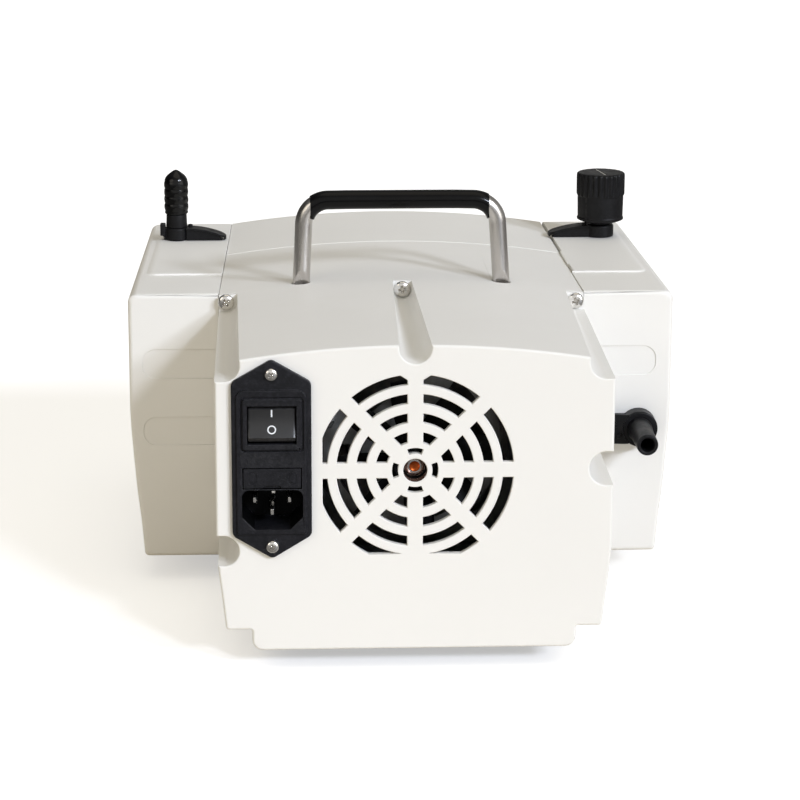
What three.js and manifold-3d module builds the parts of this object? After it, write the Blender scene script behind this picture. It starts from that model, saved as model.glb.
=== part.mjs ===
// Portable dry vacuum pump: a fan-cooled motor in a moulded rear cover drives an eccentric
// between two opposed diaphragm heads, which sit under the left and right side covers.
// Working frame, in millimetres: X = 0 is the middle plane and +X the right side, Y = 0 the
// rear face of the motor cover and +Y the front, Z = 0 the motor's axis. One group moves all of
// it to the part's frame, whose origin lies on the ground under the middle, +Z up.
import * as THREE from "three";
import { mergeVertices } from "three/addons/utils/BufferGeometryUtils.js";
import Module from "manifold-3d";

const wasm = await Module();
wasm.setup();

// ---------- driving dimensions ----------
const AXIS_HEIGHT = 83.3; // motor axis above the ground
const FACE_Y = -138.15; // the motor cover's face in the part's frame
const GAP = 0.3; // free space between neighbouring pieces
const WALL = 2.6; // moulded covers
const DECK_WALL = 2.5; // centre section

const COVER_DEPTH = 118; // motor cover, face to wide body
const COVER_HALF_W = 79.8;
const COVER_BOTTOM = -75.3;
const COVER_TOP = 51.6; // crown of the arch at the face
const COVER_RISE = 1.4; // the crown rises towards the wide body
const COVER_CROWN = 0.00114; // arch: z = top - crown * x^2, eased to DECK_CROWN at the wide body

const BODY_REAR = COVER_DEPTH + GAP;
const BODY_FRONT = 281;
const BODY_HALF_W = 119.5;
const BODY_TAPER = 4; // each side draws in by this towards the front
const BODY_TOP = 47;
const BODY_BOTTOM = -72.5;
const SEAM_REAR_X = COVER_HALF_W; // seam between centre section and side covers, at the rear
const SEAM_FRONT_X = 76; // the same seam at the front end
const CROSS_SEAM_Y = 203; // seam between the centre section's two halves
const DECK_TOP = 53; // crown of the centre section
const DECK_CROWN = 0.00102;
const PAD_TOP = BODY_TOP + 0.8; // raised field on each side cover

const BASE_BOTTOM = -72;
const BASE_TOP = -70;
const FOOT_R = 10;
const REAR_FOOT = [46, 36]; // x, y
const FRONT_FOOT = [60, 255];

const HANDLE_X = 43.9;
const HANDLE_Y = 122;
const HANDLE_BAR_Z = 87.5;
const HANDLE_BEND = 10.7;
const HANDLE_TOP_X = [-42.6, 41.9]; // the legs lean inwards, the right one more
const HANDLE_R = 3.75;
const SLEEVE_INNER_R = HANDLE_R + 0.22;
const SLEEVE_R = 4.25;

const INLET = [-101.6, 236.5]; // x, y
const KNOB = [100.8, 239]; // x, y
const OUTLET = [105, -13.9]; // x, z
const OUTLET_TIP_Y = 84;

const STATOR_R = 41;
const NECK_R = 37; // inside of the stator's rear rim and of the crank case neck
const SHAFT_R = 6;
const SHAFT_BORE_R = SHAFT_R + GAP;
const BEARING_R = 12.7; // shaft bearings
const SEAT_R = 13; // their seats
const SHAFT_PASSAGE_R = 7.5;

const HEAD_Y = 241; // both heads
const HEAD_HALF_Y = 34;
const HEAD_REAR = HEAD_Y - HEAD_HALF_Y;
const HEAD_FRONT = HEAD_Y + HEAD_HALF_Y;
const HEAD_Z = 36; // half height of the heads
const CASE_X = 62; // half length of the crank case between the heads
const CHAMBER_R = 28;
const THROW = 2.5; // eccentric throw, towards +X at rest
const ROD_W = 9.5; // width of a connecting rod along Y
const DIAPHRAGM_R = 32;
const DIAPHRAGM_X0 = CASE_X + GAP; // the head's layers outwards from the crank case
const DIAPHRAGM_X1 = DIAPHRAGM_X0 + 2;
const PLATE_X0 = DIAPHRAGM_X1 + GAP;
const PLATE_X1 = 78;
const SHEET_X0 = PLATE_X1 + GAP;
const SHEET_X1 = SHEET_X0 + 1;
const HEAD_COVER_X0 = SHEET_X1 + GAP;
const HEAD_COVER_X1 = 109;
const VALVE_Z = 14; // valves above and below the axis

// What differs from side to side: the fitting on top [x, y], the head's transfer port [x, z],
// the connecting rod's reach along Y, and the shallow panels in the side cover's rear face.
const LEFT = {
  name: "left",
  side: -1,
  fitting: INLET,
  port: [-94, -18],
  rodY: [HEAD_Y - GAP - ROD_W, HEAD_Y - GAP],
  coverScrew: "lower_left",
  panelEdge: 113.6,
  panelZ: [[9.1, 22.2], [-21.1, -8.3]],
};
const RIGHT = {
  name: "right",
  side: 1,
  fitting: KNOB,
  port: [92, 18],
  rodY: [HEAD_Y + GAP, HEAD_Y + GAP + ROD_W],
  coverScrew: "lower_right",
  panelEdge: 112.4,
  panelZ: [[9.1, 22.2]],
};

// ---------- materials ----------
const MATERIAL = {
  shell: { color: 0xece9e1, roughness: 0.55, metalness: 0 },
  black: { color: 0x17171a, roughness: 0.5, metalness: 0 },
  gloss: { color: 0x0c0c0e, roughness: 0.2, metalness: 0 },
  rubber: { color: 0x1d1d1d, roughness: 0.8, metalness: 0 },
  steel: { color: 0xa9a49e, roughness: 0.35, metalness: 1 },
  chrome: { color: 0xd5d2cd, roughness: 0.15, metalness: 1 },
  alloy: { color: 0xb4b4b2, roughness: 0.45, metalness: 1 },
  iron: { color: 0x55565a, roughness: 0.6, metalness: 0.8 },
  glass: { color: 0xdfe8ea, roughness: 0.1, metalness: 0 },
};

// ---------- geometry helpers ----------
const radians = THREE.MathUtils.degToRad;
const vectors = (points) => points.map(([x, y]) => new THREE.Vector2(x, y));
const join = (solids) => solids.reduce((a, b) => a.add(b));
const cut = (solid, cutters) => cutters.reduce((a, b) => a.subtract(b), solid);

function indexedGeometry(positions, index) {
  const geometry = new THREE.BufferGeometry();
  geometry.setAttribute("position", new THREE.BufferAttribute(new Float32Array(positions), 3));
  geometry.setIndex(new THREE.BufferAttribute(new Uint32Array(index), 1));
  return geometry;
}

function geometryOf(solid) {
  const mesh = solid.getMesh();
  return indexedGeometry(mesh.vertProperties, mesh.triVerts);
}

// Welds a closed surface into a solid, turning it right side out if need be.
function solidFrom(geometry) {
  const bare = geometry.index ? geometry.toNonIndexed() : geometry.clone();
  for (const name of Object.keys(bare.attributes))
    if (name !== "position") bare.deleteAttribute(name);
  const merged = mergeVertices(bare, 1e-4);
  const index = merged.index.array;
  const triangles = [];
  for (let i = 0; i < index.length; i += 3) {
    const [a, b, c] = [index[i], index[i + 1], index[i + 2]];
    if (a !== b && b !== c && a !== c) triangles.push(a, b, c);
  }
  const build = () =>
    new wasm.Manifold(
      new wasm.Mesh({
        numProp: 3,
        vertProperties: new Float32Array(merged.attributes.position.array),
        triVerts: new Uint32Array(triangles),
      }),
    );
  const made = build();
  if (made.volume() > 0) return made;
  for (let i = 0; i < triangles.length; i += 3)
    [triangles[i + 1], triangles[i + 2]] = [triangles[i + 2], triangles[i + 1]];
  return build();
}

const moved = (solid, matrix) => solidFrom(geometryOf(solid).applyMatrix4(matrix));

// The two ends in each direction may come in either order.
function box(x0, x1, y0, y1, z0, z1) {
  const geometry = new THREE.BoxGeometry(Math.abs(x1 - x0), Math.abs(y1 - y0), Math.abs(z1 - z0));
  geometry.translate((x0 + x1) / 2, (y0 + y1) / 2, (z0 + z1) / 2);
  return solidFrom(geometry);
}

// Lays a geometry that stands on the local Y axis along the wanted axis. The place is given in
// the other two coordinates, in alphabetical order.
function along(axis, geometry, place0, place1) {
  if (axis === "x") geometry.rotateZ(-Math.PI / 2).translate(0, place0, place1);
  else if (axis === "y") geometry.translate(place0, 0, place1);
  else geometry.rotateX(Math.PI / 2).translate(place0, place1, 0);
  return geometry;
}

// A cylinder between two ends, in either order.
function rod(axis, radius, end0, end1, place0, place1, segments = 24) {
  const geometry = new THREE.CylinderGeometry(radius, radius, Math.abs(end1 - end0), segments);
  geometry.translate(0, (end0 + end1) / 2, 0);
  return solidFrom(along(axis, geometry, place0, place1));
}

// profile: [radius, place along the axis], starting and ending on the axis
function turned(axis, profile, place0, place1, segments = 24) {
  const geometry = new THREE.LatheGeometry(vectors(profile), segments);
  return solidFrom(along(axis, geometry, place0, place1));
}

// The same with a bore: the profile stays off the axis and is closed on itself.
const turnedRing = (axis, profile, ...rest) => turned(axis, [...profile, profile[0]], ...rest);
const ring = (axis, inner, outer, end0, end1, ...rest) =>
  turnedRing(axis, [[inner, end0], [outer, end0], [outer, end1], [inner, end1]], ...rest);

// An outline in the named plane, extruded between two places across it.
function prism(plane, points, end0, end1, holes = []) {
  const shape = new THREE.Shape(vectors(points));
  for (const hole of holes) shape.holes.push(new THREE.Path(vectors(hole)));
  const geometry = new THREE.ExtrudeGeometry(shape, { depth: end1 - end0, bevelEnabled: false });
  if (plane === "xz") geometry.rotateX(Math.PI / 2).translate(0, end1, 0);
  else if (plane === "xy") geometry.translate(0, 0, end0);
  else {
    const toYZ = new THREE.Matrix4().makeBasis(
      new THREE.Vector3(0, 1, 0),
      new THREE.Vector3(0, 0, 1),
      new THREE.Vector3(1, 0, 0),
    );
    geometry.applyMatrix4(toYZ).translate(end0, 0, 0);
  }
  return solidFrom(geometry);
}

// Skins a list of outlines [[x, z], ...] of equal length at the given stations along Y.
function lofted(stations) {
  const count = stations[0].points.length;
  const positions = stations.flatMap(({ y, points }) => points.flatMap(([x, z]) => [x, y, z]));
  const faces = [];
  for (let k = 0; k + 1 < stations.length; k++)
    for (let i = 0; i < count; i++) {
      const a = k * count + i;
      const b = k * count + ((i + 1) % count);
      faces.push(a, b, a + count, b, b + count, a + count);
    }
  for (const k of [0, stations.length - 1]) {
    const flat = vectors(stations[k].points);
    const counterClockwise = THREE.ShapeUtils.area(flat) > 0;
    for (const face of THREE.ShapeUtils.triangulateShape(flat, [])) {
      const triangle = face.slice();
      if (THREE.ShapeUtils.area(triangle.map((i) => flat[i])) < 0) triangle.reverse();
      if ((k === 0) === counterClockwise) triangle.reverse();
      faces.push(...triangle.map((i) => i + k * count));
    }
  }
  return solidFrom(indexedGeometry(positions, faces));
}

// Moves an outline inwards; the limit keeps sharp corners from shooting out.
function inset(points, distance) {
  const corners = vectors(points);
  const sign = THREE.ShapeUtils.area(corners) > 0 ? 1 : -1;
  const count = corners.length;
  const normal = (from, to) => {
    const edge = to.clone().sub(from).normalize();
    return new THREE.Vector2(-edge.y * sign, edge.x * sign);
  };
  return corners.map((corner, i) => {
    const before = normal(corners[(i + count - 1) % count], corner);
    const after = normal(corner, corners[(i + 1) % count]);
    const reach = distance / Math.max(0.35, 1 + before.dot(after));
    return [corner.x + (before.x + after.x) * reach, corner.y + (before.y + after.y) * reach];
  });
}

// A rod (inner = 0) or tube along a polyline in an XZ plane, with mitred joints.
function swept(line, y, inner, outer, segments) {
  const last = line.length - 1;
  const legDirection = (i) =>
    new THREE.Vector2(line[i + 1][0] - line[i][0], line[i + 1][1] - line[i][1]).normalize();
  const joints = line.map(([x, z], i) => {
    const before = legDirection(Math.max(0, i - 1));
    const after = legDirection(Math.min(last - 1, i));
    const middle = before.clone().add(after).normalize();
    return { x, z, middle, stretch: 1 / middle.dot(before) };
  });
  const radii = inner > 0 ? [inner, outer] : [outer];
  const positions = [];
  for (const radius of radii)
    for (const { x, z, middle, stretch } of joints)
      for (let i = 0; i < segments; i++) {
        const angle = (i / segments) * 2 * Math.PI;
        const aside = radius * Math.cos(angle) * stretch;
        positions.push(x - middle.y * aside, y + radius * Math.sin(angle), z + middle.x * aside);
      }

  const faces = [];
  const vertex = (skin, joint, i) => (skin * line.length + joint) * segments + (i % segments);
  const addQuad = (corners, reversed) => {
    const [a, b, c, d] = reversed ? corners.reverse() : corners;
    faces.push(a, b, c, a, c, d);
  };
  radii.forEach((_, skin) => {
    for (let k = 0; k < last; k++)
      for (let i = 0; i < segments; i++) {
        const near = [vertex(skin, k, i), vertex(skin, k, i + 1)];
        const far = [vertex(skin, k + 1, i + 1), vertex(skin, k + 1, i)];
        addQuad([...near, ...far], skin < radii.length - 1);
      }
  });
  for (const k of [0, last])
    if (radii.length === 2)
      for (let i = 0; i < segments; i++) {
        const rims = [vertex(0, k, i), vertex(0, k, i + 1), vertex(1, k, i + 1), vertex(1, k, i)];
        addQuad(rims, k === last);
      }
    else
      for (let i = 1; i + 1 < segments; i++) {
        const triangle = [vertex(0, k, 0), vertex(0, k, i), vertex(0, k, i + 1)];
        faces.push(...(k === 0 ? triangle.reverse() : triangle));
      }
  return solidFrom(indexedGeometry(positions, faces));
}

// ---------- outlines ----------
const arc = (x, z, radius, from, to, steps) =>
  Array.from({ length: steps + 1 }, (_, i) => {
    const angle = radians(from + ((to - from) * i) / steps);
    return [x + radius * Math.cos(angle), z + radius * Math.sin(angle)];
  });
const rounded = (x0, x1, z0, z1, radius) => [
  ...arc(x1 - radius, z1 - radius, radius, 0, 90, 3),
  ...arc(x0 + radius, z1 - radius, radius, 90, 180, 3),
  ...arc(x0 + radius, z0 + radius, radius, 180, 270, 3),
  ...arc(x1 - radius, z0 + radius, radius, 270, 360, 3),
];
const mirrored = (points) => points.map(([x, z]) => [-x, z]).reverse();

// ---------- the assembly ----------
const pump = new THREE.Group();
const assembly = new THREE.Group();
assembly.position.set(0, FACE_Y, AXIS_HEIGHT);
assembly.add(pump);

function part(name, solid, material) {
  const geometry = geometryOf(solid).toNonIndexed();
  geometry.computeVertexNormals();
  const mesh = new THREE.Mesh(geometry, new THREE.MeshStandardMaterial(material));
  mesh.name = name;
  pump.add(mesh);
}

// ---------- motor cover ----------
const CHANNEL_END = COVER_DEPTH - 2.4; // floor of the screw access channels
const CHANNEL_WALL = 2.4;
const CHANNEL_OPEN = [95, 62]; // x and z beyond the cover, where the channels run out
const COVER_SCREWS = {
  // x, z
  top_right: [76, 43.5],
  top_left: [-76.6, 44],
  top_center: [0, 49.3],
  lower_left: [-76, -33],
  lower_right: [76, 0],
};

// Cross-sections of the channels, drawn for the right side
function cornerNotch(x, z, radius) {
  const [openX, openZ] = CHANNEL_OPEN;
  return [
    ...arc(x, z, radius, 180, 270, 6),
    [openX, z - radius],
    [openX, openZ],
    [x - radius, openZ],
  ];
}
const sideNotch = (x, z, radius) => [
  ...arc(x, z, radius, 90, 270, 8),
  [CHANNEL_OPEN[0], z - radius],
  [CHANNEL_OPEN[0], z + radius],
];
const topSlot = (x, z, radius) => [
  ...arc(x, z, radius, 180, 360, 8),
  [x + radius, CHANNEL_OPEN[1]],
  [x - radius, CHANNEL_OPEN[1]],
];

// section, side, then its circle [x, z, radius] at the cover's face and at the deep end
const CHANNELS = [
  [cornerNotch, 1, [76.3, 43.6, 6.5], [76, 44, 4.3]],
  [cornerNotch, -1, [76.3, 43.6, 6.5], [76, 44, 4.3]],
  [topSlot, 1, [0, 50.3, 6.5], [0, 49.3, 4.1]],
  [sideNotch, -1, [77, -33, 6.3], [76, -33, 4.3]],
  [sideNotch, 1, [77, 0, 7], [76, 0, 4.3]],
];
function channel([section, side, faceCircle, deepCircle], growth, y0, y1) {
  const outline = ([x, z, radius]) =>
    section(x, z, radius + growth).map(([px, pz]) => [side * px, pz]);
  return lofted([
    { y: y0, points: outline(faceCircle) },
    { y: y1, points: outline(deepCircle) },
  ]);
}

// Fan grille: ring slots between eight spokes of even width
const SPOKE_W = 6.3;
const SPOKES = 8;
const GRILLE_RINGS = [[11.7, 16.0], [19.8, 23.7], [27.6, 31.6], [35.3, 39.6]]; // radii
const GRILLE_CLIP_X = -37.1; // no slots beyond these
const GRILLE_CLIP_Z = -34.9;
const HUB_SLOT = [6.9, 9.3]; // radii of the four slots round the hub
const HUB_SLOT_HALF_ANGLE = 21;
const HUB_R = 4.8; // hole at the grille's centre

function grilleSlot([inner, outer], middle, innerHalf, outerHalf, steps) {
  const outline = [
    ...arc(0, 0, outer, middle - outerHalf, middle + outerHalf, steps),
    ...arc(0, 0, inner, middle + innerHalf, middle - innerHalf, steps),
  ];
  return prism("xz", outline, -1, WALL + 1);
}

function grilleCutters() {
  const pitch = 360 / SPOKES;
  const halfAngle = (radius) =>
    pitch / 2 - THREE.MathUtils.radToDeg(Math.asin(SPOKE_W / 2 / radius));
  const slots = [];
  for (const radii of GRILLE_RINGS)
    for (let i = 0; i < SPOKES; i++) {
      const [innerHalf, outerHalf] = radii.map(halfAngle);
      const steps = radii[1] > 30 ? 3 : 2;
      slots.push(grilleSlot(radii, (i + 0.5) * pitch, innerHalf, outerHalf, steps));
    }
  const field = box(GRILLE_CLIP_X, 60, -2, WALL + 2, GRILLE_CLIP_Z, 60);
  const hubSlots = [0, 90, 180, 270].map((angle) =>
    grilleSlot(HUB_SLOT, angle, HUB_SLOT_HALF_ANGLE, HUB_SLOT_HALF_ANGLE, 2),
  );
  return [join(slots).intersect(field), ...hubSlots, rod("y", HUB_R, -1, WALL + 8, 0, 0, 16)];
}

function coverOutline(y) {
  const share = y / COVER_DEPTH;
  const rise = COVER_RISE * share;
  const crown = COVER_CROWN + (DECK_CROWN - COVER_CROWN) * share;
  const top = (x) => [x, COVER_TOP + rise - crown * x * x];
  // right half [x, z], from the bottom up and over to the arch
  const half = [
    [60, COVER_BOTTOM], [63.4, -74.3], [65.2, -71.6], [65.7, -66.5],
    [76.3, -66.3], [77.4, -56], [78.8, -44],
    [COVER_HALF_W, -35], [COVER_HALF_W, 39.5], [79.2, 42.5], [76.8, 44.6 + rise * 0.8],
    ...[70, 57, 44, 30, 15].map(top),
  ];
  return [...half, top(0), ...mirrored(half)];
}

function motorCover() {
  const station = (y, depth) => ({ y, points: inset(coverOutline(y), depth) });
  const outer = lofted([0, COVER_DEPTH].map((y) => ({ y, points: coverOutline(y) })));
  const inner = lofted([station(WALL, WALL), station(COVER_DEPTH + 1, WALL)]);
  const walls = CHANNELS.map((each) =>
    channel(each, CHANNEL_WALL, 0, COVER_DEPTH).intersect(outer),
  );
  const hubCollar = rod("y", HUB_R + 1.8, WALL - 0.5, 5, 0, 0, 16);
  const { x: bodyX, z: bodyZ } = MODULE_BODY;
  part(
    "motor_cover",
    cut(join([outer.subtract(inner), ...walls, hubCollar]), [
      ...CHANNELS.map((each) => channel(each, 0, -1, CHANNEL_END)),
      ...grilleCutters(),
      ...Object.values(COVER_SCREWS).map(([x, z]) =>
        rod("y", 2, CHANNEL_END - 3, COVER_DEPTH + 2, x, z, 8),
      ),
      box(-60, 60, WALL, COVER_DEPTH + 1, -90, -70), // open bottom
      box(bodyX[0] - GAP, bodyX[1] + GAP, -1, WALL + 1, bodyZ[0] - GAP, bodyZ[1] + GAP),
      ...moduleScrewHoles(-1),
    ]),
    MATERIAL.shell,
  );
}

// ---------- pan-head screws, heads towards -Y ----------
const COVER_SCREW = { head: 3.5, shank: 1.6, length: 9.5 }; // radii, length under the head
const MODULE_SCREW = { head: 2.55, shank: 1.4, length: 9 };

function panScrew(name, x, seatY, z, { head, shank, length }) {
  const height = head * 0.6;
  const top = seatY - height;
  const profile = [
    [0, top], [head * 0.6, top], [head, seatY - height * 0.4], [head, seatY],
    [shank, seatY], [shank, seatY + length], [0, seatY + length],
  ];
  const slotW = head * 0.13; // half width and half length of the cross recess
  const slotL = head * 0.52;
  const floor = seatY - height * 0.35;
  const cross = join([
    box(x - slotL, x + slotL, top - 1, floor, z - slotW, z + slotW),
    box(x - slotW, x + slotW, top - 1, floor, z - slotL, z + slotL),
  ]);
  part(name, turned("y", profile, x, z, 12).subtract(cross), MATERIAL.chrome);
}

function coverScrews() {
  for (const [name, [x, z]] of Object.entries(COVER_SCREWS))
    panScrew(`cover_screw_${name}`, x, CHANNEL_END - GAP, z, COVER_SCREW);
}

// ---------- centre section of the wide body ----------
const SHARES = [1, 0.8, 0.6, 0.4, 0.2, 0, -0.2, -0.4, -0.6, -0.8, -1]; // of the half width
const FRONT_LIFT = 0.5; // the front half stands this much higher
const FRONT_FOOT_Z = -69.6;
// front half: y, and how far the edge is rounded down there
const FRONT_STATIONS = [
  [CROSS_SEAM_Y + GAP, 0], [BODY_FRONT - 4, 0], [BODY_FRONT - 1.4, 1.0], [BODY_FRONT, 3.0],
];
const VENT_X = [-50, -30, -10, 10, 30, 50];
const VENT_Z = [[-44, -40.5], [-54, -50.5]];

const seamX = (y) =>
  SEAM_REAR_X + ((SEAM_FRONT_X - SEAM_REAR_X) * (y - COVER_DEPTH)) / (BODY_FRONT - COVER_DEPTH);

const deckOutline = (half, lift, foot) => [
  ...SHARES.map((share) => share * half).map((x) => [x, DECK_TOP + lift - DECK_CROWN * x * x]),
  [-half, foot],
  [half, foot],
];
const deckOuter = (y, lift, drop, foot) => ({
  y,
  points: deckOutline((seamX(y) - GAP) * (1 - drop / 90), lift - drop, foot),
});
const deckInner = (y, lift, foot) => ({
  y,
  points: deckOutline(seamX(y) - GAP - DECK_WALL, lift - DECK_WALL, foot),
});

function centerCoverRear() {
  const outer = lofted([BODY_REAR, CROSS_SEAM_Y].map((y) => deckOuter(y, 0, 0, 38)));
  const inner = lofted([BODY_REAR - 1, CROSS_SEAM_Y + 1].map((y) => deckInner(y, 0, 30)));
  const boss = rod("y", 3.8, BODY_REAR, 125.7, 0, 48.9, 16);
  const screwHole = (radius, place) => rod("y", radius, BODY_REAR - 1, 127, ...place, 12);
  part(
    "center_cover_rear",
    cut(outer.subtract(inner).add(boss), [
      screwHole(2, COVER_SCREWS.top_center),
      screwHole(2.2, COVER_SCREWS.top_right),
      screwHole(2.2, COVER_SCREWS.top_left),
      ...[HANDLE_X, -HANDLE_X].map((x) => rod("z", HANDLE_R + 0.5, 30, 60, x, HANDLE_Y, 16)),
    ]),
    MATERIAL.shell,
  );
}

function centerCoverFront() {
  const innerY = [CROSS_SEAM_Y + GAP - 1, BODY_FRONT - WALL];
  const outer = lofted(
    FRONT_STATIONS.map(([y, drop]) => deckOuter(y, FRONT_LIFT, drop, FRONT_FOOT_Z)),
  );
  const inner = lofted(innerY.map((y) => deckInner(y, FRONT_LIFT, -80)));
  const openSides = box(-90, 90, ...innerY, -80, 38);
  const vents = VENT_X.flatMap((x) =>
    VENT_Z.map((ends) => box(x - 7, x + 7, BODY_FRONT - 6, BODY_FRONT + 1, ...ends)),
  );
  part("center_cover_front", cut(outer.subtract(inner), [openSides, ...vents]), MATERIAL.shell);
}

// ---------- side covers ----------
const SIDE_LOW_X = SEAM_FRONT_X + GAP; // inner edge at the bottom
// y, and how far the edge is rounded off there
const SIDE_STATIONS = [
  [BODY_REAR, 1.6], [COVER_DEPTH + 1.0, 0.5], [COVER_DEPTH + 2.4, 0],
  [BODY_FRONT - 3.4, 0], [BODY_FRONT - 1.2, 0.7], [BODY_FRONT, 2.2],
];

// Right cover's outline, moved in by depth at the outer side.
// The inner edge is upright below and drawn outwards above along the seam.
function sideOutline(y, depth, lowX, highX) {
  const draw = (BODY_TAPER * (y - COVER_DEPTH)) / (BODY_FRONT - COVER_DEPTH);
  const points = [
    [lowX, BODY_BOTTOM + depth], [111.9, BODY_BOTTOM + depth],
    [113.6, -71.9 + depth * 0.8], [114.3, -70.3 + depth * 0.5],
    [115.5, -56], [117.1, -42], [118.3, -26.5],
    [BODY_HALF_W, -9], [BODY_HALF_W, 43.2],
    [119.0, 45.1 - depth * 0.4], [117.6, 46.5 - depth * 0.8], [115.7, BODY_TOP - depth],
    [highX, BODY_TOP + 0.1 - depth], [highX, 36], [lowX, 30],
  ];
  return points.map(([x, z]) => [x > 100 ? x - draw - depth : x, z]);
}

// Raised field between the seam and the outer rounding: x, y on the right cover
const PAD = [
  [seamX(158) + 0.7, 158], [109, 158], [111.2, 158.9], [112, 161],
  [109.2, 273], [108, 276], [seamX(276) + 0.7, 276],
];

function sideCover({ name, side, fitting, coverScrew, panelEdge, panelZ }) {
  const station = (y, depth, lowX, highX) => {
    const points = sideOutline(y, depth, lowX, highX);
    return { y, points: side < 0 ? mirrored(points) : points };
  };
  const outer = lofted(
    SIDE_STATIONS.map(([y, depth]) => station(y, depth, SIDE_LOW_X, seamX(y) + GAP)),
  );
  const inner = lofted(
    [BODY_REAR + WALL, BODY_FRONT - WALL].map((y) =>
      station(y, WALL, SIDE_LOW_X - 6, SIDE_LOW_X - 6),
    ),
  );
  const pad = prism("xy", PAD.map(([x, y]) => [side * x, y]), BODY_TOP - 1, PAD_TOP);
  const panelX = side < 0 ? [-panelEdge, -72] : [72, panelEdge];
  const rearHole = (radius, place, segments) =>
    rod("y", radius, COVER_DEPTH - 1, 128, ...place, segments);
  const cutters = [
    rod("z", 4.3, 40, 60, ...fitting, 16),
    rearHole(2.2, COVER_SCREWS[coverScrew], 12),
    ...panelZ.map((ends) =>
      prism("xz", rounded(...panelX, ...ends, 4), COVER_DEPTH - 1, COVER_DEPTH + 0.8),
    ),
  ];
  if (side > 0) cutters.push(rearHole(4.3, OUTLET, 16));
  part(`side_cover_${name}`, cut(outer.subtract(inner).add(pad), cutters), MATERIAL.shell);
}

// ---------- chassis ----------
// x, y: narrow under the motor, wide under the body
const BASE_OUTLINE = [
  [-61, 4], [61, 4], [61, 118.6], [75.6, 118.6],
  [75.6, 278], [-75.6, 278], [-75.6, 118.6], [-61, 118.6],
];
// x, z: upright plate round the motor, its top following the deck
const FRAME_OUTLINE = [
  [-73, BASE_TOP + GAP], [73, BASE_TOP + GAP], [73, 41], [40, 47.4],
  [12, 49.4], [-12, 49.4], [-40, 47.4], [-73, 41],
];
const FRAME_Y = [126, 129];

function chassis() {
  part("base_plate", prism("xy", BASE_OUTLINE, BASE_BOTTOM, BASE_TOP), MATERIAL.steel);
  const motorHole = arc(0, 0, STATOR_R + 1.2, 360, 15, 23);
  part("frame_plate", prism("xz", FRAME_OUTLINE, ...FRAME_Y, [motorHole]), MATERIAL.steel);
}

function feet() {
  const profile = [
    [0, -AXIS_HEIGHT], [FOOT_R - 1.6, -AXIS_HEIGHT], [FOOT_R - 0.8, -AXIS_HEIGHT + 0.8],
    [FOOT_R, BASE_BOTTOM - GAP], [0, BASE_BOTTOM - GAP],
  ];
  for (const [end, [x, y]] of [["rear", REAR_FOOT], ["front", FRONT_FOOT]])
    for (const { name, side } of [LEFT, RIGHT])
      part(`foot_${end}_${name}`, turned("z", profile, side * x, y, 16), MATERIAL.rubber);
}

// ---------- carrying handle ----------
function handle() {
  const leftX = HANDLE_TOP_X[0] + HANDLE_BEND; // centres of the two bends
  const rightX = HANDLE_TOP_X[1] - HANDLE_BEND;
  const bendZ = HANDLE_BAR_Z - HANDLE_BEND;
  const line = [
    [-HANDLE_X, 22], [-HANDLE_X, 49],
    ...arc(leftX, bendZ, HANDLE_BEND, 180, 90, 5),
    ...arc(rightX, bendZ, HANDLE_BEND, 90, 0, 5),
    [HANDLE_X, 49], [HANDLE_X, 22],
  ];
  part("handle_bar", swept(line, HANDLE_Y, 0, HANDLE_R, 12), MATERIAL.steel);
  // the sleeve stops part-way down each bend
  const sleeveLine = [
    ...arc(leftX, bendZ, HANDLE_BEND, 144, 90, 3),
    ...arc(rightX, bendZ, HANDLE_BEND, 90, 54, 2),
  ];
  const sleeve = swept(sleeveLine, HANDLE_Y, SLEEVE_INNER_R, SLEEVE_R, 12);
  part("handle_sleeve", sleeve, MATERIAL.gloss);
}

// ---------- mains inlet module: rocker switch, fuse drawer, three-pin inlet ----------
const MODULE_X = -57.3; // middle line
const MODULE_BODY = { x: [-71, -43.6], z: [-25, 32.5] };
const MODULE_SCREW_Z = { top: 40.6, bottom: -30.5 };
const FUSE_POCKET = { x: [-69, -45.4], z: [-6.3, 2.4] };
// name, middle x and z, half width, half height
const PINS = [
  ["pin_line", MODULE_X - 7, -12.4, 1, 2],
  ["pin_neutral", MODULE_X + 7, -12.4, 1, 2],
  ["pin_earth", MODULE_X, -17.5, 1, 2.2],
];
const PIN_PLAY = 0.2;
const FLANGE_OUTLINE = [
  // x, z
  [MODULE_X + 2.2, 45.6], [MODULE_X - 2.2, 45.6],
  [-71.6, 38.4], [-73.2, 36.2], [-73.2, -24.8], [-71.6, -27.0],
  [MODULE_X - 2.2, -34.8], [MODULE_X + 2.2, -34.8],
  [-43.1, -27.0], [-41.5, -24.8], [-41.5, 36.2], [-43.1, 38.4],
];
const SOCKET_OUTLINE = [
  // x, z
  ...arc(-48, -9.8, 3, 0, 90, 3), ...arc(-66.3, -9.8, 3, 90, 180, 3),
  [-69.3, -18], [-64.2, -23.2], [-50.2, -23.2], [-45.0, -18],
];
const ROCKER_PIVOT = [1.0, 20.1]; // y, z
const ROCKER_TILT = -10; // degrees from level; at rest the upper half is pressed in
const ROCKER_X = [-66.7, -47.7];
const ROCKER_OUTLINE = [
  // y, z from the pivot, level
  [-4.6, 6.9], [-3.9, 3.4], [-3.6, 0], [-3.9, -3.4], [-4.6, -6.9], [-1, -7.2],
  [3, -6.6], [6, -3], [7, 0], [6, 3], [3, 6.6], [-1, 7.2],
];
const FUSE_PROFILE = [
  // radius, x: the caps are thicker than the glass
  [0, -67.3], [2.5, -67.3], [2.5, -61.6], [2.2, -61.6],
  [2.2, -52.8], [2.5, -52.8], [2.5, -47.1], [0, -47.1],
];

const moduleScrewHoles = (y0) =>
  Object.values(MODULE_SCREW_Z).map((z) => rod("y", 1.8, y0, 6, MODULE_X, z, 12));

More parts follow.
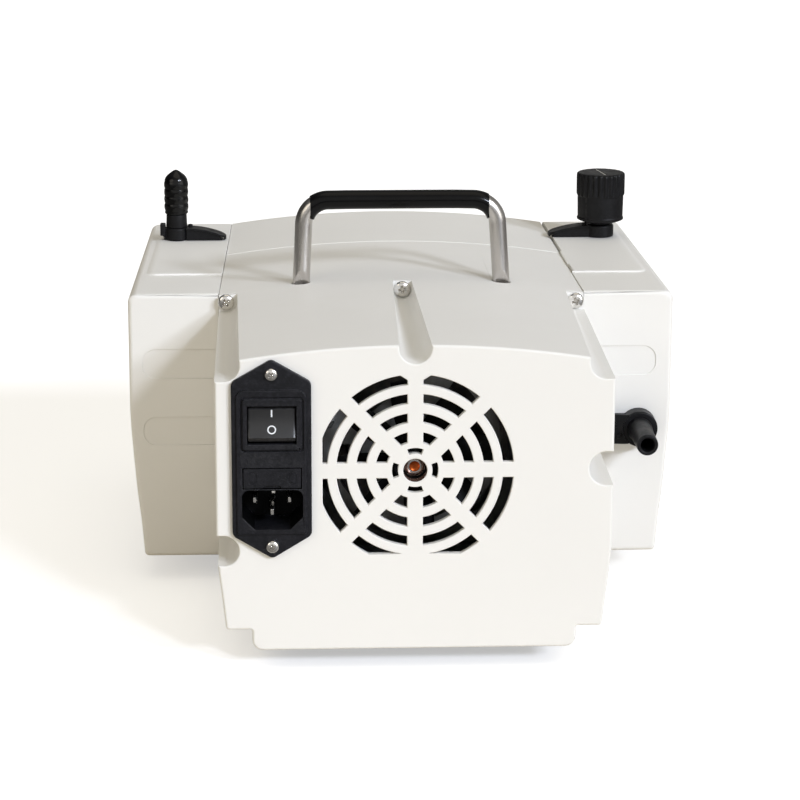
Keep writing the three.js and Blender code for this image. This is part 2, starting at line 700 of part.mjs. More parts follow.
function powerModule() {
  const flange = prism("xz", FLANGE_OUTLINE, -2.1, -GAP);
  const field = prism("xz", rounded(-71.5, -43.5, -25.5, 34.4, 3), -2.9, -1.2);
  const switchFrame = prism("xz", rounded(-68.9, -45.3, 9.8, 30.7, 1), -3.5, -2);
  const body = box(...MODULE_BODY.x, -1, 30, ...MODULE_BODY.z);
  const pinHoles = PINS.map(([, x, z, halfW, halfH]) => {
    const [width, height] = [halfW + PIN_PLAY, halfH + PIN_PLAY];
    return box(x - width, x + width, 10, 40, z - height, z + height);
  });
  part(
    "power_module",
    cut(join([flange, field, switchFrame, body]), [
      box(-67, -47.4, -5, 14, 12.3, 27.9), // rocker's pocket
      box(...FUSE_POCKET.x, -5, 24, ...FUSE_POCKET.z),
      prism("xz", SOCKET_OUTLINE, -4, 18),
      ...pinHoles,
      ...moduleScrewHoles(-5),
    ]),
    MATERIAL.black,
  );
}

function pins() {
  for (const [name, x, z, halfW, halfH] of PINS) {
    const outline = [
      [2.5, z - halfH * 0.55], [4.4, z - halfH], [34, z - halfH],
      [34, z + halfH], [4.4, z + halfH], [2.5, z + halfH * 0.55],
    ];
    part(name, prism("yz", outline, x - halfW, x + halfW), MATERIAL.chrome);
  }
}

function moduleScrews() {
  for (const [name, z] of Object.entries(MODULE_SCREW_Z))
    panScrew(`module_screw_${name}`, MODULE_X, -2.3, z, MODULE_SCREW);
}

function rockerSwitch() {
  const [pivotY, pivotZ] = ROCKER_PIVOT;
  const cos = Math.cos(radians(ROCKER_TILT));
  const sin = Math.sin(radians(ROCKER_TILT));
  const tilted = ROCKER_OUTLINE.map(([y, z]) => [
    pivotY + y * cos - z * sin,
    pivotZ + y * sin + z * cos,
  ]);
  part("rocker_switch", prism("yz", tilted, ...ROCKER_X), MATERIAL.black);
}

function fuseDrawer() {
  const { x, z } = FUSE_POCKET;
  const drawer = box(x[0] + GAP, x[1] - GAP, -3.1, 21, z[0] + GAP, z[1] - GAP);
  const fuseBay = box(-68, -46.4, 10.5, 17.5, -4.8, 4);
  const edgeNotch = box(-61, -53.6, -4, -2.3, z[0], z[0] + 1.3);
  part("fuse_drawer", cut(drawer, [fuseBay, edgeNotch]), MATERIAL.black);
  part("fuse", turned("x", FUSE_PROFILE, 14, -2, 12), MATERIAL.glass);
}

// ---------- fittings ----------
// A locking lever: a ring round the fitting's stem with a hooded arm, lying on a flat face.
// Local frame: axis +Z through the origin, the arm along +X, underside at z = 0.
function lever({ bore, hub, height, reach, width, lug = false }) {
  const root = bore + 0.6;
  const web = [
    [root, 0], [reach - 2.2, 0], [reach - 2.6, 1.2],
    [reach * 0.78, height * 0.5], [reach * 0.55, height * 0.74], [root, height * 0.86],
  ];
  const hood = [
    [root, height * 0.82], [reach * 0.55, height * 0.7], [reach * 0.78, height * 0.46],
    [reach - 2.4, 0.9], [reach - 1.4, 0.1], [reach, 0.2], [reach, 1.7],
    [reach * 0.8, height * 0.64], [reach * 0.55, height * 0.9], [root, height],
  ];
  const plan = [
    [0, -width / 2], [reach - 3.4, -width / 2], [reach - 1.0, -width * 0.34], [reach, 0],
    [reach - 1.0, width * 0.34], [reach - 3.4, width / 2], [0, width / 2],
  ];
  const arm = prism("xz", web, -width * 0.42, width * 0.42)
    .add(prism("xz", hood, -width / 2, width / 2))
    .intersect(prism("xy", plan, -1, height + 1));
  const solids = [ring("z", bore, hub, 0, height, 0, 0, 16), arm];
  if (lug)
    solids.push(
      box(-hub - 2.6, -hub - 0.15, -2.2, 3, 2.2, height * 1.28),
      box(-hub - 1, -hub + 0.6, -2.2, 3, 0, height - 0.3),
    );
  return join(solids).subtract(rod("z", bore, -1, height * 1.4, 0, 0, 16));
}

const INLET_LEVER = { bore: 3.9, hub: 5.2, height: 5.8, reach: 23.5, width: 8.6, lug: true };
const REGULATOR_LEVER = { bore: 3.9, hub: 6.5, height: 5.6, reach: 25, width: 8.6 };
const OUTLET_LEVER = { bore: 4.1, hub: 8.0, height: 7.4, reach: 23.4, width: 13.4 };

function levers() {
  const inlet = new THREE.Matrix4().makeTranslation(...INLET, PAD_TOP + GAP);
  part("inlet_lever", moved(lever(INLET_LEVER), inlet), MATERIAL.black);

  const regulator = new THREE.Matrix4().makeRotationZ(Math.PI); // arm to -X
  regulator.setPosition(...KNOB, PAD_TOP + GAP);
  part("regulator_lever", moved(lever(REGULATOR_LEVER), regulator), MATERIAL.black);

  // on the rear face: the axis points to -Y and the arm to -X
  const outlet = new THREE.Matrix4().makeBasis(
    new THREE.Vector3(-1, 0, 0),
    new THREE.Vector3(0, 0, -1),
    new THREE.Vector3(0, -1, 0),
  );
  outlet.setPosition(OUTLET[0], COVER_DEPTH, OUTLET[1]);
  part("outlet_lever", moved(lever(OUTLET_LEVER), outlet), MATERIAL.black);
}

// Turned profiles: radius, z
const INLET_NOZZLE = [
  [2.4, 30], [3.5, 30], [3.5, 54.2], [5.0, 54.2], [4.8, 60.2], [3.6, 60.2],
  [4.3, 63.3], [3.6, 67.3], [4.3, 71.8], [3.4, 74.8], [2.4, 74.8],
];
const DUST_CAP = [
  [0, 81.5], [2.6, 80.2], [4.7, 78], [5.45, 76.2], [5.5, 73], [5.7, 71], [5.55, 69.2],
  [5.75, 67.4], [5.55, 65.6], [5.75, 63], [5.3, 60.5], [4.7, 60.5], [4.7, 75.8], [0, 77.3],
];
const REGULATOR_BODY = [
  [2.0, 30], [3.5, 30], [3.5, 53.95], [4.8, 53.95],
  [4.8, 57.8], [7.5, 58.4], [7.5, 68], [2.0, 68],
];
const REGULATOR_NEEDLE = [[0, 33], [1.5, 39], [1.5, 70], [3, 70], [3, 72], [0, 72]];
const KNOB_BORE_R = 8.2;
const KNOB_SKIRT = [
  [5.2, 54.6], [6.4, 54.6], [11.05, 56.6], [11.05, 70],
  [KNOB_BORE_R, 70], [KNOB_BORE_R, 57.4], [5.2, 57.4],
];
const KNOB_RIDGES = 26;
const KNOB_RIDGE_R = [11.6, 11.0]; // crest, root
const KNOB_Z = [68.4, 78.8]; // ridged part

function inletFitting() {
  part("inlet_nozzle", turnedRing("z", INLET_NOZZLE, ...INLET, 16), MATERIAL.black);
  part("inlet_dust_cap", turned("z", DUST_CAP, ...INLET, 16), MATERIAL.gloss);
}

function regulatorKnob() {
  const [knobX, knobY] = KNOB;
  const outline = Array.from({ length: KNOB_RIDGES * 2 }, (_, i) => {
    const angle = (i / KNOB_RIDGES) * Math.PI;
    const radius = KNOB_RIDGE_R[i % 2];
    return [knobX + radius * Math.cos(angle), knobY + radius * Math.sin(angle)];
  });
  const top = prism("xy", outline, ...KNOB_Z).subtract(rod("z", KNOB_BORE_R, 60, 74, ...KNOB, 24));
  const skirt = turnedRing("z", KNOB_SKIRT, ...KNOB, 24);
  // pointer groove on the flat top, towards the rear and a little right
  const groove = new THREE.BoxGeometry(11, 0.9, 1.2);
  groove.translate(5.5, 0, 0).rotateZ(radians(-76)).translate(knobX, knobY, 79);
  part("regulator_knob", join([top, skirt]).subtract(solidFrom(groove)), MATERIAL.black);
}

function regulator() {
  part("regulator_body", turnedRing("z", REGULATOR_BODY, ...KNOB, 16), MATERIAL.black);
  regulatorKnob();
  part("regulator_needle", turned("z", REGULATOR_NEEDLE, ...KNOB, 12), MATERIAL.steel);
}

function outletNozzle() {
  const innerEnd = HEAD_REAR - GAP;
  // radius, y: the long thin stem reaches forward to the right head
  const profile = [
    [3.0, OUTLET_TIP_Y + 0.4], [3.3, OUTLET_TIP_Y], [4.3, OUTLET_TIP_Y],
    [4.65, OUTLET_TIP_Y + 0.5], [4.9, 100], [5.6, 110], [3.7, 110.3],
    [3.7, innerEnd], [2.7, innerEnd], [2.7, 112], [3.0, 110],
  ];
  part("outlet_nozzle", turnedRing("y", profile, ...OUTLET, 16), MATERIAL.black);
}

// ---------- motor ----------
// Turned profiles: radius, y
const STATOR_PROFILE = [
  [27, 56], [27, 140], [STATOR_R, 140], [STATOR_R, 52], [NECK_R, 52], [NECK_R, 56],
];
const BELL_PROFILE = [
  [0, 40], [37.5, 40], [STATOR_R, 44], [STATOR_R, 51.7], [36.8, 51.7],
  [36.8, 44.5], [16, 44.5], [16, 50.5], [0, 50.5],
];
const SHAFT_PROFILE = [
  [0, 7.5], [1.7, 7.5], [2.1, 6], [3.6, 6], [4, 6.4], [4, 28],
  [SHAFT_R, 28], [SHAFT_R, 253], [0, 253],
];
const BEARING_Y = { rear: [42.5, 50.2], front: [202.3, 210.3] };
const FAN_BLADES = 8;
const FAN_BORE_R = 4.3;

function motorBell() {
  const windows = [0, 90, 180, 270].map((from) => {
    const outline = [...arc(0, 0, 33, from, from + 56, 3), ...arc(0, 0, 21, from + 56, from, 2)];
    return prism("xz", outline, 39, 46);
  });
  const cup = cut(turned("y", BELL_PROFILE, 0, 0, 24), [
    ...windows,
    rod("y", SHAFT_PASSAGE_R, 39, 52, 0, 0, 16),
    rod("y", SEAT_R, 42.2, 52, 0, 0, 16),
  ]);
  part("motor_bell_rear", cup, MATERIAL.alloy);
}

function coolingFan() {
  const hub = ring("y", FAN_BORE_R, 9, 11, 25, 0, 0, 16);
  const blades = Array.from({ length: FAN_BLADES }, (_, i) => {
    const blade = new THREE.BoxGeometry(25, 1.4, 14);
    blade.rotateX(radians(38)).translate(19.8, 18, 0);
    blade.rotateY((i * 2 * Math.PI) / FAN_BLADES);
    return solidFrom(blade);
  });
  const bore = rod("y", FAN_BORE_R, 0, 40, 0, 0, 16);
  part("cooling_fan", join([hub, ...blades]).subtract(bore), MATERIAL.black);
}

function motor() {
  part("motor_stator", turnedRing("y", STATOR_PROFILE, 0, 0, 24), MATERIAL.iron);
  motorBell();
  for (const [name, ends] of Object.entries(BEARING_Y))
    part(`bearing_${name}`, ring("y", SHAFT_BORE_R, BEARING_R, ...ends, 0, 0, 16), MATERIAL.chrome);
  part("motor_shaft", turned("y", SHAFT_PROFILE, 0, 0, 16), MATERIAL.steel);
  part("motor_rotor", ring("y", SHAFT_BORE_R, 26.4, 60, 136, 0, 0, 24), MATERIAL.iron);
  coolingFan();
}

// ---------- crank case and drive ----------
function crankcase() {
  const neck = ring("y", NECK_R, STATOR_R, 140.3, 202, 0, 0, 24);
  const block = box(-CASE_X, CASE_X, 200, HEAD_FRONT, -HEAD_Z, HEAD_Z);
  const web = rod("y", 39, 198.5, 204, 0, 0, 24);
  const legs = [204, 262].map((y) => box(-50, 50, y, y + 8, BASE_TOP + GAP, -HEAD_Z + 1));
  part(
    "crankcase",
    cut(join([neck, block, web, ...legs]), [
      rod("x", CHAMBER_R, -70, 70, HEAD_Y, 0, 24),
      rod("y", 26, 214.5, 268, 0, 0, 24), // room for the eccentric
      rod("y", SEAT_R, 202, 216, 0, 0, 16),
      rod("y", SHAFT_PASSAGE_R, 190, 216, 0, 0, 16),
      rod("y", 20, 262, 280, 0, 0, 20), // front opening
      box(-20, 20, 203, 271, -60, -48), // windows in the legs
    ]),
    MATERIAL.alloy,
  );
}

function eccentric() {
  const disc = rod("y", 11, 230.8, 251.2, THROW, 0, 20);
  const weight = rod("y", 22, 221, 230.2, 0, 0, 20).intersect(box(-30, 3, 220, 232, -30, 30));
  const collar = rod("y", 10, 217, 231.2, 0, 0, 16);
  const bore = rod("y", SHAFT_BORE_R, 210, 260, 0, 0, 16);
  part("eccentric", join([disc, weight, collar]).subtract(bore), MATERIAL.iron);
}

// ---------- heads: each layer is made for one side ----------
function connectingRod({ name, side, rodY: [y0, y1] }) {
  part(`rod_bearing_${name}`, ring("y", 11.3, 15.6, y0, y1, THROW, 0, 20), MATERIAL.chrome);
  const ends = (x0, x1) => [side * x0 + THROW, side * x1 + THROW];
  const footY = ROD_W + GAP; // the foot widens over both rods' planes to centre the disc
  const solids = [
    rod("y", 19.5, y0, y1, THROW, 0, 20),
    box(...ends(14, 60), y0, y1, -6, 6),
    box(...ends(50, 60), HEAD_Y - footY, HEAD_Y + footY, -6, 6),
    rod("x", 17.8, ...ends(59, CASE_X), HEAD_Y, 0, 20),
    rod("x", 2.9, ...ends(61, 66.4), HEAD_Y, 0, 12), // stud
  ];
  const eyeBore = rod("y", 16, y0 - 1, y1 + 1, THROW, 0, 20);
  part(`connecting_rod_${name}`, join(solids).subtract(eyeBore), MATERIAL.alloy);
}

// Rim clamped between crank case and head, middle displaced with the rod
function diaphragm({ name, side }) {
  const shift = THROW * side;
  const profile = [
    [3.4, DIAPHRAGM_X0 + shift], [18.6, DIAPHRAGM_X0 + shift],
    [27, DIAPHRAGM_X0], [DIAPHRAGM_R, DIAPHRAGM_X0],
    [DIAPHRAGM_R, DIAPHRAGM_X1], [27.5, DIAPHRAGM_X1],
    [19.1, DIAPHRAGM_X1 + shift], [3.4, DIAPHRAGM_X1 + shift],
  ].map(([radius, x]) => [radius, side * x]);
  part(`diaphragm_${name}`, turnedRing("x", profile, HEAD_Y, 0, 20), MATERIAL.rubber);
}

function clampDisc({ name, side }) {
  const profile = [
    [3.2, PLATE_X0], [15.5, PLATE_X0], [15.5, PLATE_X0 + 1],
    [14, PLATE_X0 + 2], [3.2, PLATE_X0 + 2],
  ].map(([radius, x]) => [radius, side * x + THROW]);
  part(`clamp_disc_${name}`, turnedRing("x", profile, HEAD_Y, 0, 16), MATERIAL.alloy);
}

const headBlock = (side, x0, x1) =>
  box(side * x0, side * x1, HEAD_REAR, HEAD_FRONT, -HEAD_Z, HEAD_Z);

function valvePlate({ name, side }) {
  const solid = cut(headBlock(side, PLATE_X0, PLATE_X1), [
    rod("x", CHAMBER_R, side * CASE_X, side * 72.5, HEAD_Y, 0, 24),
    ...[VALVE_Z, -VALVE_Z].map((z) => rod("x", 3.5, side * 60, side * 90, HEAD_Y, z, 8)),
  ]);
  part(`valve_plate_${name}`, solid, MATERIAL.alloy);
}

// Each valve flap is cut free along both sides and its upper edge.
function valveSheet({ name, side }) {
  const sheet = rod("x", 25, side * SHEET_X0, side * SHEET_X1, HEAD_Y, 0, 16);
  const slit = (y0, y1, z0, z1) => box(side * 77, side * 81, HEAD_Y + y0, HEAD_Y + y1, z0, z1);
  const slits = [VALVE_Z, -VALVE_Z].flatMap((z) => [
    slit(-6, -5.2, z - 5.5, z + 5.5),
    slit(5.2, 6, z - 5.5, z + 5.5),
    slit(-6, 6, z + 4.7, z + 5.5),
  ]);
  part(`valve_sheet_${name}`, cut(sheet, slits), MATERIAL.rubber);
}

function headCover({ name, side, fitting, port }) {
  const hollow = (z0, z1) => box(side * 78, side * 105, HEAD_Y - 22, HEAD_Y + 22, z0, z1);
  const rearPort = (radius, x, z) => rod("y", radius, 200, HEAD_Y - 20, x, z, 12);
  const cutters = [
    hollow(3, 26),
    hollow(-26, -3),
    rod("z", 4.0, 20, 40, ...fitting, 16),
    rearPort(3.2, ...port),
  ];
  if (side > 0) cutters.push(rearPort(2.7, OUTLET[0] - 1.5, OUTLET[1]));
  const block = headBlock(side, HEAD_COVER_X0, HEAD_COVER_X1);
  part(`head_cover_${name}`, cut(block, cutters), MATERIAL.alloy);
}

// From the left head's lower port, down and across behind the crank case, to the right's upper
function transferTube() {
  const radius = 4;
  const segments = 8;
  const [leftX, leftZ] = LEFT.port;
  const [rightX, rightZ] = RIGHT.port;
  // x, y, z
  const path = [
    [leftX, HEAD_REAR - GAP, leftZ], [leftX, 196, leftZ], [-92, 184, -26], [-84, 178, -44],
    [-66, 176, -58], [-30, 176, -61], [30, 176, -61], [66, 176, -58],
    [85, 178, -42], [91, 180, -16], [rightX, 184, 6], [rightX, 194, 17],
    [rightX, HEAD_REAR - GAP, rightZ],
  ].map((point) => new THREE.Vector3(...point));
  const circle = Array.from({ length: segments }, (_, i) => {
    const angle = (i / segments) * 2 * Math.PI;
    return [radius * Math.cos(angle), radius * Math.sin(angle)];
  });
  const geometry = new THREE.ExtrudeGeometry(new THREE.Shape(vectors(circle)), {
    steps: 26,
    extrudePath: new THREE.CatmullRomCurve3(path, false, "centripetal"),
  });
  part("transfer_tube", solidFrom(geometry), MATERIAL.rubber);
}

// ---------- build ----------
motorCover();
coverScrews();
centerCoverRear();
centerCoverFront();
sideCover(LEFT);
sideCover(RIGHT);
chassis();
feet();
handle();
powerModule();
pins();
moduleScrews();
rockerSwitch();
fuseDrawer();
levers();
inletFitting();
regulator();
outletNozzle();
motor();
crankcase();
eccentric();
for (const sideSpec of [LEFT, RIGHT]) {
  connectingRod(sideSpec);
  diaphragm(sideSpec);
  clampDisc(sideSpec);
  valvePlate(sideSpec);
  valveSheet(sideSpec);
  headCover(sideSpec);
}
transferTube();

export default assembly;
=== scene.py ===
"""A portable diaphragm air compressor: off-white shell, carrying handle, mains inlet, fittings.

X runs from left to right, Z up. The motor's air grille faces -Y (the rear), the heads lie
towards +Y (the front). Parts are drawn in millimetres, with X = 0 the middle plane, Y = 0 the
motor cover's face and Z = 0 the motor's axis; place_point() moves them to the frame, in metres.
"""

import random
from math import asin, atan2, cos, degrees, hypot, pi, radians, sin, tan
import bmesh
import bpy
from mathutils import Matrix, Vector


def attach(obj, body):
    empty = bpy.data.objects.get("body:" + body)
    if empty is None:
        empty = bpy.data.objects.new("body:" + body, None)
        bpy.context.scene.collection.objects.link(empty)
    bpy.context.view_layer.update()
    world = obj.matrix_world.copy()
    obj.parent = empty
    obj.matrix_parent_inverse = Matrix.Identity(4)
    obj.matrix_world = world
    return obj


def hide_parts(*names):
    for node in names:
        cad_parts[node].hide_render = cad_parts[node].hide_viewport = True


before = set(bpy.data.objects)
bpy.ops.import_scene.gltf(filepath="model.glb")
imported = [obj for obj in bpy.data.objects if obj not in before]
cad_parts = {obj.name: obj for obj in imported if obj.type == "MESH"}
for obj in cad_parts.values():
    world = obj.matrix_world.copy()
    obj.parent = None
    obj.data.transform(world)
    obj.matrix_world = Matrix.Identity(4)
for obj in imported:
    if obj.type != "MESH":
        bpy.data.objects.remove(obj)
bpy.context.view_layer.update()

random.seed(11)

ORIGIN = (0.0, -138.15, 83.3)

# Shell
COVER_DEPTH, WALL = 118.0, 2.6
BODY_FRONT, BODY_BOTTOM, BODY_TOP = 281.0, -72.5, 47.0
CROSS_SEAM_Y = 203.0
FIELD_RISE = 0.8  # raised fields on the side covers
LEVER_Z = BODY_TOP + FIELD_RISE + 0.3
CHANNEL_END = COVER_DEPTH - 2.4  # floor of the cover's screw channels

# Places of the fittings: (x, y) for the upright ones, (x, z) for the outlet
INLET = (-101.6, 236.5)
REGULATOR = (100.8, 239.0)
OUTLET = (105.0, -13.9)

# Screws: name: (x, z, turn of the cross)
COVER_SCREWS = {
    "top_right": (76, 43.5, 0.35),
    "top_left": (-76.6, 44, 0.62),
    "top_center": (0, 49.3, 0.15),
    "lower_left": (-76, -33, 0.95),
    "lower_right": (76, 0, 0.5),
}
MODULE_X = -57.3
MODULE_SCREWS = {"top": (MODULE_X, 40.6, 0.7), "bottom": (MODULE_X, -30.5, 0.25)}
MODULE_BODY = (-71, -43.6, -25, 32.5)  # x0, x1, z0, z1
MODULE_GAP = 0.3

# Handle
HANDLE_X, HANDLE_Y, HANDLE_RADIUS = 43.9, 122.0, 3.75
HANDLE_BAR_Z, HANDLE_BEND = 87.5, 10.7

# Air grille: the rings of slots as (inner radius, outer radius)
SPOKE_WIDTH = 6.3
GRILLE_RINGS = [(11.7, 16.0), (19.8, 23.7), (27.6, 31.6), (35.3, 39.6)]
HUB_RADIUS = 4.8


def seam_x(y):
    """The seam between the centre section and a side cover draws in towards the front."""
    return 79.8 - 3.8 * (y - COVER_DEPTH) / (BODY_FRONT - COVER_DEPTH)


# ---------------------------------------------------------------- outlines


def arc(cx, cz, radius, start, end, steps):
    """Points of an arc; angles in degrees."""
    angles = [radians(start + (end - start) * i / steps) for i in range(steps + 1)]
    return [(cx + radius * cos(angle), cz + radius * sin(angle)) for angle in angles]


def rounded(x0, x1, z0, z1, radius, steps=8):
    """A rectangle with round corners."""
    return (
        arc(x1 - radius, z1 - radius, radius, 0, 90, steps)
        + arc(x0 + radius, z1 - radius, radius, 90, 180, steps)
        + arc(x0 + radius, z0 + radius, radius, 180, 270, steps)
        + arc(x1 - radius, z0 + radius, radius, 270, 360, steps)
    )


def fillet(points, steps=8):
    """Rounds the corners of a polygon of (x, z, radius)."""
    out = []
    for i, (x, z, radius) in enumerate(points):
        if radius <= 0:
            out.append((x, z))
            continue
        corner = Vector((x, z))
        back = Vector(points[i - 1][:2]) - corner
        ahead = Vector(points[(i + 1) % len(points)][:2]) - corner
        shorter = min(back.length * 0.49, ahead.length * 0.49)
        back.normalize()
        ahead.normalize()
        half = back.angle(ahead) / 2
        if half > radians(89.5):
            out.append((x, z))
            continue
        run = min(radius / tan(half), shorter)
        centre = corner + (back + ahead).normalized() * (run * tan(half) / sin(half))
        first, last = corner + back * run - centre, corner + ahead * run - centre
        sweep = atan2(first.x * last.y - first.y * last.x, first.dot(last))
        count = max(1, round(steps * abs(sweep) / (pi / 2)))
        for j in range(count + 1):
            turn = sweep * j / count
            out.append(
                (
                    centre.x + first.x * cos(turn) - first.y * sin(turn),
                    centre.y + first.x * sin(turn) + first.y * cos(turn),
                )
            )
    return out


def inset(points, distance):
    """The outline drawn in by a distance, or let out if it is negative."""
    count, out = len(points), []
    area = sum(
        points[i][0] * points[(i + 1) % count][1] - points[(i + 1) % count][0] * points[i][1]
        for i in range(count)
    )
    way = 1 if area > 0 else -1
    for i, (x, z) in enumerate(points):
        before, after = points[i - 1], points[(i + 1) % count]
        arriving = Vector((x - before[0], z - before[1])).normalized()
        leaving = Vector((after[0] - x, after[1] - z)).normalized()
        normal_in = Vector((-arriving.y * way, arriving.x * way))
        normal_out = Vector((-leaving.y * way, leaving.x * way))
        share = distance / max(0.35, 1 + normal_in.dot(normal_out))
        out.append((x + (normal_in.x + normal_out.x) * share, z + (normal_in.y + normal_out.y) * share))
    return out


def clip(points, a, b, limit):
    """The part of a polygon where a x + b z >= limit."""
    out = []
    for i, here in enumerate(points):
        after = points[(i + 1) % len(points)]
        side_here = a * here[0] + b * here[1] - limit
        side_after = a * after[0] + b * after[1] - limit
        if side_here >= 0:
            out.append(here)
        if (side_here > 0 and side_after < 0) or (side_here < 0 and side_after > 0):
            share = side_here / (side_here - side_after)
            out.append(tuple(p + (q - p) * share for p, q in zip(here, after)))
    return out


def quarter(radius, steps=5):
    """Steps of a rounded edge: (distance from the face, inset)."""
    angles = [pi / 2 * (1 - i / steps) for i in range(steps + 1)]
    return [(radius * (1 - sin(angle)), radius * (1 - cos(angle))) for angle in angles]


def section(points, depth, plane="xz"):
    """Lifts an outline to 3D at a depth across its plane."""
    if plane == "xz":
        return [(p, depth, q) for p, q in points]
    if plane == "xy":
        return [(p, q, depth) for p, q in points]
    return [(depth, p, q) for p, q in points]


# ---------------------------------------------------------------- solids
# place, where it is given, maps a solid's own frame to the part's millimetres.


def place_point(point):
    return Vector([(value + start) / 1000 for value, start in zip(point, ORIGIN)])


def to_mm(point):
    return tuple(value * 1000 - start for value, start in zip(point, ORIGIN))


def link_mesh(mesh):
    ob = bpy.data.objects.new("work", mesh)
    bpy.context.scene.collection.objects.link(ob)
    return ob


def make(verts, faces, place=None):
    mesh = bpy.data.meshes.new("work")
    mesh.from_pydata([place_point(place(v) if place else v) for v in verts], [], faces)
    bm = bmesh.new()
    bm.from_mesh(mesh)
    bmesh.ops.remove_doubles(bm, verts=bm.verts, dist=2e-7)
    bmesh.ops.recalc_face_normals(bm, faces=bm.faces)
    bm.to_mesh(mesh)
    bm.free()
    return link_mesh(mesh)


def loft(rings, place=None, closed=False):
    """Joins rings of points. closed: the last ring meets the first, instead of two end caps."""
    size, count = len(rings[0]), len(rings)
    faces = []
    for k in range(count if closed else count - 1):
        here, there = k * size, (k + 1) % count * size
        for i in range(size):
            j = (i + 1) % size
            faces.append((here + i, here + j, there + j, there + i))
    if not closed:
        faces.append(tuple(range(size)))
        faces.append(tuple(range((count - 1) * size, count * size)))
    return make([point for ring in rings for point in ring], faces, place)


def inset_loft(outline, levels):
    """A solid along Y; levels: (y, inset of the outline)."""
    return loft([section(inset(outline, distance), y) for y, distance in levels])


def prism(plane, points, start, end, place=None):
    return loft([section(points, depth, plane) for depth in (start, end)], place)


def box(x0, x1, y0, y1, z0, z1, place=None):
    return prism("xy", [(x0, y0), (x1, y0), (x1, y1), (x0, y1)], z0, z1, place)


def lathe(axis, profile, u, v, seg=64, ring=False, place=None, shape=None):
    """Turns a profile of (radius, place along the axis) about the axis through (u, v).

    ring: the profile closes on itself. shape: a function of (radius, place, angle) that gives
    the radius.
    """

    def point(radius, along, angle):
        if shape:
            radius = shape(radius, along, angle)
        p, q = radius * cos(angle), radius * sin(angle)
        if axis == "z":
            return (u + p, v + q, along)
        if axis == "y":
            return (u + p, along, v + q)
        return (along, u + p, v + q)

    verts, faces, rows = [], [], []
    for radius, along in profile:
        count = 1 if radius < 1e-6 else seg
        rows.append(range(len(verts), len(verts) + count))
        if count == 1:
            verts.append(point(0, along, 0))
        else:
            verts += [point(radius, along, 2 * pi * i / seg) for i in range(seg)]
    for a, b in list(zip(rows, rows[1:])) + ([(rows[-1], rows[0])] if ring else []):
        for i in range(seg):
            j = (i + 1) % seg
            if len(a) == 1:
                faces.append((a[0], b[i], b[j]))
            elif len(b) == 1:
                faces.append((a[i], b[0], a[j]))
            else:
                faces.append((a[i], b[i], b[j], a[j]))
    return make(verts, faces, place)


def rod(axis, radius, start, end, u, v, seg=48, place=None):
    profile = [(0, start), (radius, start), (radius, end), (0, end)]
    return lathe(axis, profile, u, v, seg, place=place)


def merge(obs):
    """One object that holds the separate shells of all of them."""
    bm = bmesh.new()
    for ob in obs:
        bm.from_mesh(ob.data)
    mesh = bpy.data.meshes.new("work")
    bm.to_mesh(mesh)
    bm.free()
    for ob in obs:
        bpy.data.objects.remove(ob)
    return link_mesh(mesh)


def combine(ob, tools, operation):
    """Applies a boolean with each tool in turn and removes the tool."""
    for tool in tools:
        # a solver that fails leaves the mesh as it was; the exact one then has its turn
        for solver in ("MANIFOLD", "EXACT"):
            modifier = ob.modifiers.new("combine", "BOOLEAN")
            modifier.object, modifier.operation, modifier.solver = tool, operation, solver
            depsgraph = bpy.context.evaluated_depsgraph_get()
            mesh = bpy.data.meshes.new_from_object(ob.evaluated_get(depsgraph))
            ob.modifiers.clear()
            old = ob.data
            if (len(mesh.vertices), len(mesh.polygons)) != (len(old.vertices), len(old.polygons)):
                break
        ob.data = mesh
        bpy.data.meshes.remove(old)
        bpy.data.objects.remove(tool)
    return ob


def cut(ob, *tools):
    return combine(ob, tools, "DIFFERENCE")


def join(ob, *tools):
    return combine(ob, tools, "UNION")


def common(ob, tool):
    return combine(ob, [tool], "INTERSECT")


def register(ob, node, body):
    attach(ob, body)
    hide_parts(node)


def add_bevel(ob, width, steps, angle, clamp):
    modifier = ob.modifiers.new("edges", "BEVEL")
    modifier.width = width / 1000
    modifier.segments = steps
    modifier.limit_method = "ANGLE"
    modifier.angle_limit = radians(angle)
    modifier.use_clamp_overlap = clamp
    modifier.harden_normals = True
    return modifier


